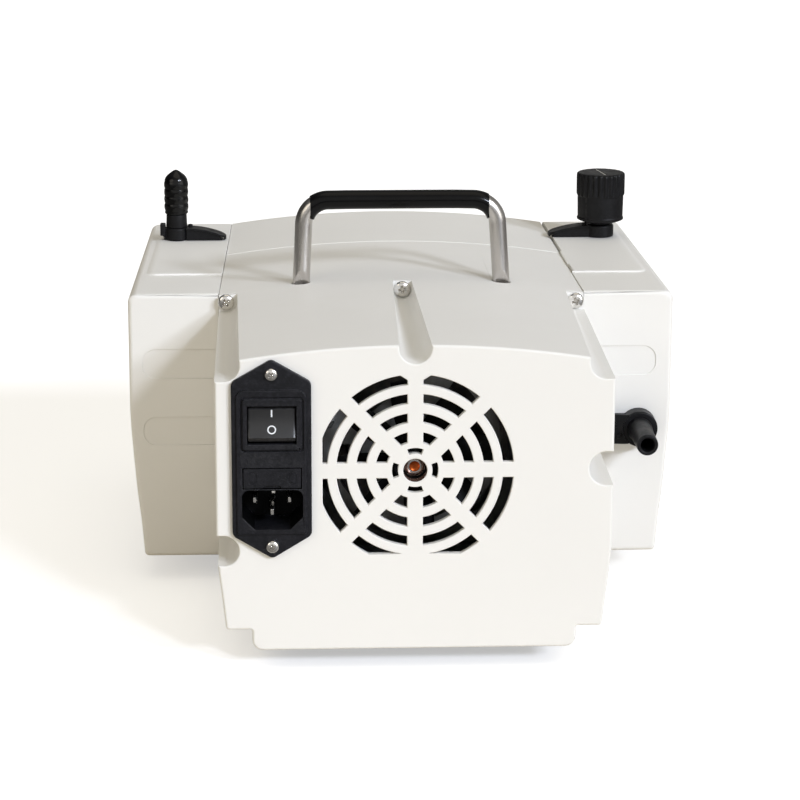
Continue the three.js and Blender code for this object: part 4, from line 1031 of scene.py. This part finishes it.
def build_handle_bar():
    path = (
        [(-HANDLE_X, 22), (-HANDLE_X, 46), (-HANDLE_X + 0.02, 50)]
        + arc(BEND_LEFT, BEND_Z, HANDLE_BEND, 180, 90, 16)
        + [(-14, HANDLE_BAR_Z + 0.12), (0, HANDLE_BAR_Z + 0.2), (14, HANDLE_BAR_Z + 0.12)]
        + arc(BEND_RIGHT, BEND_Z, HANDLE_BEND, 90, 0, 16)
        + [(HANDLE_X - 0.05, 50), (HANDLE_X, 46), (HANDLE_X, 22)]
    )
    bar = loft(tube_rings(path, lambda share, angle: HANDLE_RADIUS))
    # each leg is pressed flat where it enters the deck: a slanted facet, front and rear
    z0 = deck_z(HANDLE_X) - 1.0
    wedges = []
    for x in (-HANDLE_X, HANDLE_X):
        for side in (-1, 1):
            skin = HANDLE_Y + side * HANDLE_RADIUS
            clear = HANDLE_Y + side * (HANDLE_RADIUS + 4)
            flat = skin - side * 1.9
            outline = [
                (clear, z0 + 7.4), (skin, z0 + 7.2), (flat, z0 + 0.8), (flat, z0 - 9), (clear, z0 - 9)
            ]
            wedges.append(prism("yz", outline, x - 6, x + 6))
    piece(cut(bar, *wedges), "handle_bar", STEEL, bevel=0.15, smooth=30, angle=24)


def build_handle_sleeve():
    path = (
        arc(BEND_LEFT, BEND_Z, HANDLE_BEND, 158, 90, 14)
        + [(x, HANDLE_BAR_Z + 0.2 * cos(x / 30)) for x in range(-24, 25, 6)]
        + arc(BEND_RIGHT, BEND_Z, HANDLE_BEND, 90, 22, 14)
    )

    def skin(share, angle):
        # shrunk tube: never quite even, a little thicker at its ends
        ripple = 0.035 * sin(7 * share + 2 * angle) + 0.03 * sin(23 * share + angle)
        return 4.14 + ripple + 0.08 * (abs(2 * share - 1) ** 12)

    bore = tube_rings(path, lambda share, angle: HANDLE_RADIUS + 0.12)
    tube = loft(tube_rings(path, skin) + bore[::-1], closed=True)
    # the ends are trimmed a little aslant
    lean = 8 * 0.14
    keep = [(-40.2, 96), (-40.2 + lean, 72), (38.4 - lean, 72), (38.4, 96)]
    tube = common(tube, prism("xz", keep, HANDLE_Y - 8, HANDLE_Y + 8))
    piece(tube, "handle_sleeve", SLEEVE, bevel=0.1, smooth=50, angle=55)


build_handle_bar()
build_handle_sleeve()

# ---------------------------------------------------------------- mains inlet module

# name, x, z, half width, half height
PINS = (
    ("pin_line", MODULE_X - 7, -12.4, 1, 2),
    ("pin_neutral", MODULE_X + 7, -12.4, 1, 2),
    ("pin_earth", MODULE_X, -17.5, 1, 2.2),
)


def module_material(centre, normal):
    """0 black, 1 clip of the earth pin, 2 inside of the socket, painted darker than the black plastic
    as shade.
    """
    x, y, z = centre
    if MODULE_X - 0.4 < x < MODULE_X + 1.6 and 15.5 < y < 17.9 and -13.8 < z < -12.2:
        return 1
    # the socket's inside takes the painted shade
    return 2 if y > 0.2 and abs(x - MODULE_X) < 12.6 and -23 < z < -5.5 else 0


def build_module():
    # outlines: x, z, corner radius
    hexagon = [
        (MODULE_X, 46.6, 2.6), (-73.3, 37.3, 3.2), (-73.3, -26.0, 3.2),
        (MODULE_X, -35.7, 2.6), (-41.4, -26.0, 3.2), (-41.4, 37.3, 3.2),
    ]
    field = [(-71.5, 34.4, 3.4), (-71.5, -25.5, 0.8), (-43.5, -25.5, 0.8), (-43.5, 34.4, 3.4)]
    socket = [
        (-69.3, -6.8, 3.0), (-69.3, -18, 0.5), (-64.2, -23.2, 0.5),
        (-50.2, -23.2, 0.5), (-45.0, -18, 0.5), (-45.0, -6.8, 3.0),
    ]
    rocker_frame = rounded(-68.93, -45.27, 9.77, 30.73, 0.93)
    x0, x1, z0, z1 = MODULE_BODY

    module = inset_loft(fillet(hexagon, 9), ((-0.05, 0), (-1.7, 0.05), (-2.0, 0.22), (-2.1, 0.5)))
    module = join(module, inset_loft(fillet(field, 8), ((-1.2, 0), (-2.7, 0.1), (-2.9, 0.32))))
    # a shallow groove runs round the rocker frame
    groove = cut(
        prism("xz", rounded(-69.6, -44.6, 9.1, 31.4, 1.4), -4, -2.35),
        prism("xz", rounded(-68.9, -45.3, 9.8, 30.7, 0.9), -5, -2),
    )
    module = cut(module, groove)
    module = join(
        module,
        inset_loft(rocker_frame, ((-2, 0), (-3.35, 0.08), (-3.5, 0.25))),
        box(x0, x1, -1, 30, z0, z1),
    )
    module = cut(
        module,
        box(-67, -47.4, -5, 14, 12.3, 27.9),  # rocker opening
        box(-69, -45.4, -5, 24, -6.3, 2.4),  # fuse drawer opening
        prism("xz", fillet(socket, 7), -5, 18),
        *[rod("y", 1.8, -5, 6, x, z, 24) for x, z, _ in MODULE_SCREWS.values()],
        *[
            box(x - w - 0.2, x + w + 0.2, 10, 40, z - h - 0.2, z + h + 0.2)
            for _, x, z, w, h in PINS
        ],
    )
    # the shoulder of the earth pin's clip shows above its root
    module = join(module, box(MODULE_X - 0.2, MODULE_X + 1.4, 15.8, 18.5, -13.5, -12.4))
    mats = [BLACK, PIN, SOCKET_SHADE]
    piece(module, "power_module", mats, bevel=0.18, pick=module_material)


def build_pin(node, x, z, half_width, half_height):
    # y, share of the full section
    levels = ((2.5, 0.48), (2.62, 0.56), (3.1, 0.72), (4.0, 0.92), (4.8, 1.0), (34, 1.0))
    rings = []
    for y, share in levels:
        w, h = half_width * min(1, share + 0.1), half_height * share
        rings.append(section(rounded(x - w, x + w, z - h, z + h, 0.35, 4), y))
    piece(loft(rings), node, PIN, bevel=0.08, steps=1)


build_module()
for pin in PINS:
    build_pin(*pin)


def build_rocker():
    """The key, tilted about X, with raised paler marks: a bar over a ring."""
    pivot_y, pivot_z, tilt = 1.0, 20.1, radians(-10)
    x0, x1 = -66.7, -47.7
    mark_x, ring_z, ring_inner, ring_outer = -57.2, -2.5, 1.25, 1.75
    mark_out, mark_back = 0.07, -0.25  # the marks' faces, measured out from the key's face

    def tilted(y, z):
        return (
            pivot_y + y * cos(tilt) - z * sin(tilt),
            pivot_z + y * sin(tilt) + z * cos(tilt),
        )

    def on_face(z, out):
        return tilted(-3.60 - 0.0210 * z * z - out, z)

    inner_side = [
        (-2.7, -7.2), (-1, -7.3), (3, -6.6), (6, -3), (7, 0), (6, 3), (3, 6.6), (-1, 7.3), (-2.7, 7.2)
    ]
    profile = [on_face(5.7 - 11.4 * i / 24, 0) for i in range(25)]
    profile += [tilted(y, z) for y, z in inner_side]
    # a long roll of the side edges: distance from the end, inset
    roll = ((0, 0.45), (0.2, 0.21), (0.55, 0.06), (1.1, 0.0))
    levels = [(x0 + run, d) for run, d in roll] + [(x1 - run, d) for run, d in reversed(roll)]
    key = loft([section(inset(profile, d), x, "yz") for x, d in levels])

    left, right = mark_x - 0.3, mark_x + 0.3
    bar = fillet([(left, 2.6, 0.1), (right, 2.6, 0.1), (right, 5.45, 0.1), (left, 5.45, 0.1)], 3)
    bar_mark = loft([[(x, *on_face(z, out)) for x, z in bar] for out in (mark_back, mark_out)])
    rings = []
    for radius, out in (
        (ring_inner, mark_back), (ring_outer, mark_back), (ring_outer, mark_out), (ring_inner, mark_out)
    ):
        angles = [2 * pi * i / 40 for i in range(40)]
        rings.append(
            [(mark_x + radius * cos(a), *on_face(ring_z + radius * sin(a), out)) for a in angles]
        )
    ring_mark = loft(rings, closed=True)

    key_faces = len(key.data.polygons)
    rocker = merge([key, bar_mark, ring_mark])
    rocker.name, rocker.data.name = "vis_rocker_switch", "rocker"
    rocker.data.materials.append(ROCKER)
    rocker.data.materials.append(MARK)
    for face in rocker.data.polygons:
        face.use_smooth = True
        face.material_index = 0 if face.index < key_faces else 1
    rocker.data.set_sharp_from_angle(angle=radians(32))
    register(rocker, "rocker_switch", "rocker")


build_rocker()


def build_fuse_drawer():
    outline = rounded(-68.7, -45.7, -6.0, 2.1, 0.5, 4)
    drawer = inset_loft(outline, ((21, 0), (-2.85, 0.0), (-3.03, 0.08), (-3.1, 0.22)))
    # pull notch at the lower edge: y, spread
    notch = loft(
        [
            section(rounded(-61 - e, -53.6 + e, -8, -4.9 + e * 0.5, 1.2, 5), y)
            for y, e in ((-4, 0.35), (-2.2, -0.1))
        ]
    )
    tools = [box(-68, -46.4, 10.5, 17.5, -4.8, 4), notch]
    # two shallow oval rims on the face
    for x in (-65.2, -49.2):
        oval = prism("xz", rounded(x - 1.75, x + 1.75, -4.4, 0.9, 1.6, 7), -4, -2.93)
        core = prism("xz", rounded(x - 1.15, x + 1.15, -3.8, 0.3, 1.1, 7), -5, -2)
        tools.append(cut(oval, core))
    drawer = cut(drawer, *tools)
    piece(drawer, "fuse_drawer", BLACK, "fuse_holder", bevel=0.08, steps=1)


def build_fuse():
    # radius, x
    profile = [
        (0, -67.3), (2.3, -67.3), (2.5, -67.1), (2.5, -61.8), (2.45, -61.6), (2.2, -61.6),
        (2.2, -52.8), (2.45, -52.8), (2.5, -52.6), (2.5, -47.3), (2.3, -47.1), (0, -47.1),
    ]

    def glass_or_cap(centre, normal):
        return 0 if -61.6 < centre[0] < -52.8 else 1

    fuse = lathe("x", profile, 14, -2, 40)
    piece(fuse, "fuse", [GLASS, PIN], "fuse_holder", bevel=0, pick=glass_or_cap)


build_fuse_drawer()
build_fuse()

# ---------------------------------------------------------------- locking levers


def lever(bore, rim, height, reach, width, place, lug=False):
    """A ring round the stem and a hooded arm along +X, underside at z = 0, in its own frame."""
    profile = [
        (bore, 0), (rim - 0.15, 0), (rim, 0.15), (rim, height - 0.5), (rim - 0.45, height),
        (bore, height),
    ]
    hub = lathe("z", profile, 0, 0, 64, True, place)
    skin, edge, steps = 0.95, 1.75, 20
    x0 = bore + 0.7
    top = []
    for i in range(steps + 1):
        x = x0 + (reach - x0) * i / steps
        share = (x - x0) / (reach - x0)
        top.append((x, edge + (height - edge) * (1 - share**2.0)))
    under = [(x, z - skin) for x, z in top if x < reach - 1.3]
    under += [(reach - 1.15, edge - 0.75), (reach - 0.95, 0.12), (reach, 0.12)]
    hood = prism("xz", under + top[::-1], -width / 2, width / 2, place)
    web_top = [(x, z - skin + 0.2) for x, z in top if x < reach - 2.2]
    web_outline = [(x0, 0), (reach - 1.6, 0)] + web_top[::-1]
    web = prism("xz", web_outline, -width * 0.42, width * 0.42, place)
    tip = width * 0.42
    plan = [(0, -width / 2, 0), (reach, -width / 2, tip), (reach, width / 2, tip), (0, width / 2, 0)]
    limit = prism("xy", fillet(plan, 10), -1, height + 1, place)
    ob = join(hub, common(join(hood, web), limit))
    if lug:
        inner, outer = -rim - 0.15, -rim - 2.6
        bracket = [(-rim - 2.2, 2.6), (inner, 2.6), (inner, 0.4)]
        ob = join(
            ob,
            prism("xy", rounded(outer, inner, -2.2, 3, 0.5, 4), 2.0, height * 1.28, place),
            prism("xz", bracket, -1.9, 2.7, place),
            box(-rim - 1, -rim + 0.7, -1.9, 2.7, 0, height - 0.3, place),
        )
    # a small round stop between the stem and the arm
    stop = [
        (0, height - 1.6), (1.15, height - 1.6), (1.15, height + 0.75), (0.85, height + 1.05),
        (0, height + 1.12),
    ]
    ob = join(ob, lathe("z", stop, rim + 1.2, width * 0.22, 28, place=place))
    return cut(ob, rod("z", bore, -2, height * 1.5, 0, 0, 64, place))


def on_inlet(p):
    return (INLET[0] + p[0], INLET[1] + p[1], LEVER_Z + p[2])


def on_regulator(p):
    return (REGULATOR[0] - p[0], REGULATOR[1] - p[1], LEVER_Z + p[2])


def on_outlet(p):
    return (OUTLET[0] - p[0], COVER_DEPTH - p[2], OUTLET[1] - p[1])


inlet_lever = lever(
    bore=3.9, rim=5.2, height=5.8, reach=23.5, width=8.6, place=on_inlet, lug=True
)
piece(inlet_lever, "inlet_lever", FITTING, "inlet_lock", bevel=0.18)
regulator_lever = lever(bore=3.9, rim=6.5, height=5.6, reach=25, width=8.6, place=on_regulator)
piece(regulator_lever, "regulator_lever", FITTING, "regulator_lock", bevel=0.18)
outlet_lever = lever(bore=4.1, rim=8.0, height=7.4, reach=23.4, width=13.4, place=on_outlet)
piece(outlet_lever, "outlet_lever", FITTING, "outlet_lock", bevel=0.3)

# ---------------------------------------------------------------- inlet, regulator and outlet


def build_inlet_nozzle():
    # radius, z, corner radius
    profile = [
        (2.4, 30, 0), (3.5, 30, 0), (3.5, 54.15, 0), (5.0, 54.15, 0.3), (4.78, 60.3, 0.4),
        (3.6, 60.35, 0.3), (4.3, 63.3, 0.3), (3.6, 63.6, 0.2), (4.3, 67.3, 0.3), (3.6, 67.6, 0.2),
        (4.3, 71.8, 0.3), (3.4, 74.8, 0.3), (2.4, 74.8, 0),
    ]
    nozzle = lathe("z", fillet(profile, 4), *INLET, 56, True)
    piece(nozzle, "inlet_nozzle", FITTING, bevel=0, smooth=40)


def build_dust_cap():
    # radius, z: the domed top
    profile = [
        (0.0, 81.5), (0.6, 81.4), (1.6, 80.85), (2.8, 79.95), (4.0, 79.0), (4.9, 77.9),
        (5.35, 76.9), (5.42, 76.2),
    ]
    z, bulge = 76.2, 3.5
    for _ in range(4):
        profile += [
            (5.4 + 0.3 * sin(pi * i / 8) ** 0.8, z - bulge * i / 8) for i in range(1, 9)
        ]
        z -= bulge
    # the lower rim and the inside
    profile += [(5.3, z - 0.3), (5.5, z - 0.9), (5.42, 60.9), (5.1, 60.52), (4.72, 60.5)]
    profile += [(4.72, 75.7), (4.0, 76.9), (0, 77.3)]

    def uneven(radius, along, angle):
        # soft moulding: the skin is faceted by shallow upright folds
        if radius < 4.75 or along > 77.5:
            return radius
        folds = 0.006 * sin(9 * angle + along * 0.7) + 0.005 * sin(5 * angle - along * 1.3)
        return radius * (1 + folds)

    cap = lathe("z", profile, *INLET, 72, shape=uneven)
    piece(cap, "inlet_dust_cap", VINYL, "dust_cap", bevel=0, smooth=60)


def build_regulator_body():
    # radius, z
    profile = [
        (2.0, 30), (3.5, 30), (3.5, 53.8), (4.5, 53.8), (4.8, 54.0), (4.8, 57.8), (7.2, 58.3),
        (7.5, 58.6), (7.5, 67.7), (7.2, 68), (2.0, 68),
    ]
    ob = lathe("z", profile, *REGULATOR, 56, True)
    piece(ob, "regulator_body", FITTING, bevel=0.12, steps=1, smooth=40)


def build_regulator_knob():
    flutes, steps_per_flute = 26, 10
    count = flutes * steps_per_flute
    # radius, z, flute depth
    rows = [
        (8.2, 74.0, 0), (8.2, 57.5, 0), (5.3, 57.3, 0), (5.2, 54.9, 0), (5.5, 54.65, 0),
        (6.3, 54.6, 0), (7.0, 54.75, 0), (8.8, 55.35, 0), (10.4, 56.0, 0), (10.95, 56.3, 0),
        (11.12, 56.65, 0), (11.1, 57.15, 0), (10.8, 57.5, 0), (10.78, 57.9, 0), (10.85, 62.0, 0),
        (10.95, 67.0, 0), (10.92, 67.4, 0), (10.94, 67.7, 0.02), (11.1, 68.0, 0.12),
        (11.35, 68.3, 0.45), (11.53, 68.8, 0.7), (11.56, 73.0, 0.75), (11.56, 77.4, 0.7),
        (11.46, 78.0, 0.55), (11.2, 78.45, 0.3), (10.8, 78.7, 0.12), (10.3, 78.8, 0.0),
        (8.2, 78.78, 0),
    ]
    rings = []
    for radius, z, depth in rows:
        ring = []
        for i in range(count):
            a = 2 * pi * i / count
            r = radius - depth * (0.5 - 0.5 * cos(flutes * a)) ** 1.3
            ring.append((REGULATOR[0] + r * cos(a), REGULATOR[1] + r * sin(a), z))
        rings.append(ring)
    # the pointer: a filled groove across the top
    heading = radians(-80)
    along = Vector((cos(heading), sin(heading)))
    across = Vector((-along.y, along.x))
    groove = [
        Vector(REGULATOR) + along * (8.3 * u) + across * (0.42 * v)
        for u, v in ((1, 1), (1, -1), (-1, -1), (-1, 1))
    ]
    knob = cut(loft(rings), prism("xy", groove, 78.62, 80))

    def pointer_floor(centre, normal):
        x, y, z = centre
        inside = hypot(x - REGULATOR[0], y - REGULATOR[1]) < 8.4
        return 1 if 78.55 < z < 78.68 and normal.z > 0.9 and inside else 0

    mats = [FITTING, POINTER]
    piece(knob, "regulator_knob", mats, "knob", bevel=0, smooth=38, pick=pointer_floor)


def build_outlet():
    # radius, y
    profile = [
        (3.0, 84.6), (3.1, 84.25), (3.35, 84.02), (4.15, 84.0), (4.45, 84.12), (4.62, 84.45),
        (4.66, 85.0), (4.78, 92), (4.92, 100), (5.2, 106), (5.5, 109.2), (5.55, 109.8),
        (5.3, 110.2), (3.7, 110.3), (3.7, 206.7), (2.7, 206.7), (2.7, 112), (3.0, 110),
    ]
    nozzle = lathe("y", profile, *OUTLET, 64, True)
    piece(nozzle, "outlet_nozzle", FITTING, bevel=0, smooth=42)


build_inlet_nozzle()
build_dust_cap()
build_regulator_body()
build_regulator_knob()
build_outlet()

# ---------------------------------------------------------------- seen behind the grille


def shaft_material(centre, normal):
    """0 ground steel, 1 copper centre, 2 bronze collar."""
    x, y, z = centre
    radius = hypot(x, z)
    if y >= 10.3:
        return 0
    if radius < 2.1:
        return 1
    return 2 if radius > 3.36 or y > 6.9 else 0


def build_shaft():
    # radius, y
    profile = [
        (0, 6.75), (1.1, 6.62), (1.9, 6.35), (2.15, 6.15), (2.2, 6.02), (2.35, 5.98), (2.9, 6.0),
        (3.2, 6.2), (3.3, 6.7), (3.35, 7.3), (4.1, 7.3), (4.4, 7.5), (4.5, 7.9), (4.5, 9.8),
        (4.3, 10.1), (4.0, 10.2), (4.0, 27.8), (4.2, 28), (5.8, 28), (6, 28.2), (6, 252.4),
        (5.6, 253), (0, 253),
    ]
    shaft = lathe("y", profile, 0, 0, 56)
    mats = [SHAFT, COPPER, BRONZE]
    piece(shaft, "motor_shaft", mats, "rotor", bevel=0, smooth=40, pick=shaft_material)


def fan_blade(turn):
    """A twisted blade; its chord leans between the axis and the turning direction."""
    root, tip, middle_y, half_depth = 8.2, 32.2, 18, 6.9
    # round the blade's section: (share of the chord, face)
    outline = [(j / 8, 1) for j in range(9)] + [(1 - j / 8, -1) for j in range(1, 8)]
    rings = []
    for k in range(11):
        radius = root + (tip - root) * k / 10
        pitch = radians(46 - 16 * k / 10)
        chord = 12.6 + 3.0 * sin(pi * k / 10)
        ring = []
        for share, face in outline:
            thickness = 0.62 * (sin(pi * (0.08 + 0.84 * share)) ** 0.5)
            p = (share - 0.5) * chord
            q = 1.3 * sin(pi * share) + face * thickness
            along_axis = p * sin(pitch) + q * cos(pitch)
            angle = turn + (p * cos(pitch) - q * sin(pitch)) / radius
            y = middle_y + max(-half_depth, min(half_depth, along_axis))
            ring.append((radius * cos(angle), y, radius * sin(angle)))
        rings.append(ring)
    return loft(rings)


def build_fan():
    # radius, y
    profile = [
        (4.3, 11), (8.4, 11), (8.9, 11.5), (9.0, 12.2), (9.0, 24.6), (8.6, 25), (4.3, 25)
    ]
    hub = lathe("y", profile, 0, 0, 56, True)
    fan = join(hub, *[fan_blade(2 * pi * i / 8 + 0.12) for i in range(8)])
    piece(fan, "cooling_fan", FAN, "rotor", bevel=0, smooth=40)


def build_bell():
    # radius, y
    profile = [
        (7.5, 40), (37.2, 40), (38.6, 40.6), (40.6, 43.2), (41, 44.4), (41, 51.7), (36.8, 51.7),
        (36.8, 44.5), (16, 44.5), (16, 50.5), (13, 50.5), (13, 42.2), (7.5, 42.2),
    ]
    bell = lathe("y", profile, 0, 0, 72, True)
    windows = [
        prism("xz", arc(0, 0, 33, a, a + 56, 12) + arc(0, 0, 21, a + 56, a, 12), 39, 46)
        for a in (0, 90, 180, 270)
    ]
    bell = cut(bell, merge(windows))
    # hexagon bolt heads in line with the spokes between the windows
    head = [(0, 37.2), (2.6, 37.2), (3.2, 37.7), (3.2, 40.5), (0, 40.5)]
    bolts = [
        lathe("y", head, 36.0 * cos(radians(a)), 36.0 * sin(radians(a)), 6)
        for a in range(45 + 28, 360, 90)
    ]
    piece(join(bell, *bolts), "motor_bell_rear", ALLOY, bevel=0.2)


build_shaft()
build_fan()
build_bell()

# ---------------------------------------------------------------- pieces kept from the CAD

# slot, material, bevel width, nodes
KEPT = (
    ("zinc_steel", ZINC, 0.25, ("frame_plate",)),
    ("steel", SHAFT, 0.15, ("regulator_needle",)),
    ("bearing_steel", BEARING, 0.3, ("bearing_rear", "bearing_front")),
    ("bearing_steel", BEARING, 0.3, ("rod_bearing_left", "rod_bearing_right")),
    ("iron", IRON, 0.4, ("motor_stator",)),
    ("iron", IRON, 0.3, ("motor_rotor", "eccentric")),
    ("alloy", ALLOY, 0.6, ("crankcase",)),
    ("alloy", ALLOY, 0.4, ("connecting_rod_left", "connecting_rod_right")),
    ("alloy", ALLOY, 0.15, ("clamp_disc_left", "clamp_disc_right")),
    ("alloy", ALLOY, 0.5, ("valve_plate_left", "valve_plate_right")),
    ("alloy", ALLOY, 0.8, ("head_cover_left", "head_cover_right")),
    ("rubber", RUBBER, 0.3, ("diaphragm_left", "diaphragm_right")),
    ("rubber", RUBBER, 0.1, ("valve_sheet_left", "valve_sheet_right")),
    ("rubber", RUBBER, 0, ("transfer_tube",)),
)


def dress_kept(ob, mat, width):
    ob.data.materials.clear()
    ob.data.materials.append(mat)
    for face in ob.data.polygons:
        face.use_smooth = True
        face.material_index = 0
    ob.modifiers.new("weld", "WELD").merge_threshold = 2e-6
    if width:
        add_bevel(ob, width, steps=2, angle=32, clamp=True)
    else:
        modifier = ob.modifiers.new("round", "SUBSURF")
        modifier.levels = modifier.render_levels = 1


for kept_slot, kept_material, bevel_width, nodes in KEPT:
    for kept_node in nodes:
        dress_kept(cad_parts[kept_node], kept_material, bevel_width)

# ---------------------------------------------------------------- floor, light and camera

scene = bpy.context.scene


def floor_material():
    """Pale paper: bright to the camera, warmer and darker in what it throws back."""
    seen_colour = (0.9, 0.9, 0.895)
    bounced_colour = (0.86, 0.79, 0.66)
    mirrored_colour = (0.22, 0.215, 0.205)
    mat = bpy.data.materials.new("floor_pale")
    mat.use_nodes = True
    tree = mat.node_tree
    mottle = add_node(tree, "TexNoise", {"Scale": 3.0}).outputs["Fac"]
    rays = add_node(tree, "LightPath").outputs
    unseen = mix(tree, rays["Is Glossy Ray"], bounced_colour, mirrored_colour)
    feed(tree, tree.nodes["Principled BSDF"], {
        "Roughness": remap(tree, mottle, (0, 1), (0.58, 0.66)),
        "Base Color": mix(tree, rays["Is Camera Ray"], unseen, seen_colour),
        "Emission Color": (1, 1, 1, 1),
        "Emission Strength": remap(tree, rays["Is Camera Ray"], (0, 1), (0.0, 0.45)),
        "Specular IOR Level": 0.2,
    })
    return mat


def build_floor():
    mesh = bpy.data.meshes.new("floor")
    mesh.from_pydata([(-9, -9, 0), (9, -9, 0), (9, 9, 0), (-9, 9, 0)], [], [(0, 1, 2, 3)])
    floor = bpy.data.objects.new("floor", mesh)
    scene.collection.objects.link(floor)
    mesh.materials.append(floor_material())


# What shiny surfaces reflect round the horizon: (azimuth in degrees, brightness).
# Azimuth 0 is -Y and 90 is +X.
REFLECTED = (
    (-180, 0.16), (-150, 0.03), (-75, 0.02), (-50, 0.10), (-24, 0.34), (14, 0.34), (34, 0.16),
    (44, 1.0), (62, 1.0), (72, 0.22), (110, 0.12), (180, 0.16),
)


def build_world():
    """Even warm light, and a separate surround that only glossy rays see."""
    overhead_colour = (0.09, 0.09, 0.095)
    world = bpy.data.worlds.new("world")
    scene.world = world
    world.use_nodes = True
    tree = world.node_tree
    ambient = tree.nodes["Background"]
    feed(tree, ambient, {"Color": (1.0, 0.95, 0.86, 1), "Strength": 0.38})

    direction = add_node(tree, "TexCoord").outputs["Generated"]
    x, y, z = add_node(tree, "SeparateXYZ", {0: direction}).outputs
    azimuth = calculate(tree, "ARCTAN2", x, calculate(tree, "MULTIPLY", y, -1.0))
    ramp = add_node(tree, "ValToRGB", {0: remap(tree, azimuth, (-pi, pi), (0.0, 1.0))})
    stops = ramp.color_ramp.elements
    stops.remove(stops[-1])
    for i, (angle, level) in enumerate(REFLECTED):
        # the ramp's own first stop already stands at 0
        stop = stops.new((angle + 180) / 360) if i else stops[0]
        stop.color = (level, level * 0.985, level * 0.95, 1)
    overhead = remap(tree, z, (0.55, 0.9), (0.0, 1.0))
    surround = mix(tree, overhead, ramp.outputs[0], overhead_colour)
    mirrored = add_node(tree, "Background", {"Color": surround, "Strength": 2.2})
    glossy = add_node(tree, "LightPath").outputs["Is Glossy Ray"]
    shaders = {0: glossy, 1: ambient.outputs[0], 2: mirrored.outputs[0]}
    mixed = add_node(tree, "MixShader", shaders)
    feed(tree, tree.nodes["World Output"], {0: mixed.outputs[0]})


def sun(name, direction, strength, spread, colour):
    """spread: the sun's angle in degrees; a larger one gives softer shadows."""
    light = bpy.data.lights.new(name, "SUN")
    light.energy = strength
    light.angle = radians(spread)
    light.color = colour
    ob = bpy.data.objects.new(name, light)
    ob.rotation_euler = Vector(direction).to_track_quat("-Z", "Y").to_euler()
    ob.location = (0, 0, 2)
    scene.collection.objects.link(ob)


def build_camera():
    # yaw turns the view towards +X, pitch tips it down
    yaw, pitch, roll = (radians(angle) for angle in (2.68, 14.53, 0.14))
    position = (-0.0562, -1.20685, 0.3898)
    forward = Vector((sin(yaw) * cos(pitch), cos(yaw) * cos(pitch), -sin(pitch)))
    level_right = Vector((cos(yaw), -sin(yaw), 0))
    level_up = level_right.cross(forward)
    right = level_right * cos(roll) + level_up * sin(roll)
    up = -level_right * sin(roll) + level_up * cos(roll)
    data = bpy.data.cameras.new("camera")
    data.sensor_width = 36
    data.lens = 125.19
    data.clip_start, data.clip_end = 0.05, 50
    camera = bpy.data.objects.new("camera", data)
    scene.collection.objects.link(camera)
    camera.matrix_world = Matrix((*zip(right, up, -forward, position), (0, 0, 0, 1)))
    scene.camera = camera


build_floor()
build_world()

COOL = (0.955, 1.025, 1.185)
sun("key", direction=(-0.52, 0.86, -0.50), strength=1.10, spread=7, colour=COOL)
sun("key_side", direction=(-0.74, 0.70, -0.50), strength=1.10, spread=7, colour=COOL)
sun("fill", direction=(0.75, 0.70, -0.45), strength=0.31, spread=30, colour=(1.0, 0.93, 0.80))
sun("top", direction=(-0.1, 0.1, -1.0), strength=0.45, spread=50, colour=(1.0, 0.93, 0.76))

scene.view_settings.view_transform = "Standard"
scene.view_settings.look = "None"
scene.view_settings.exposure = 0.0

build_camera()
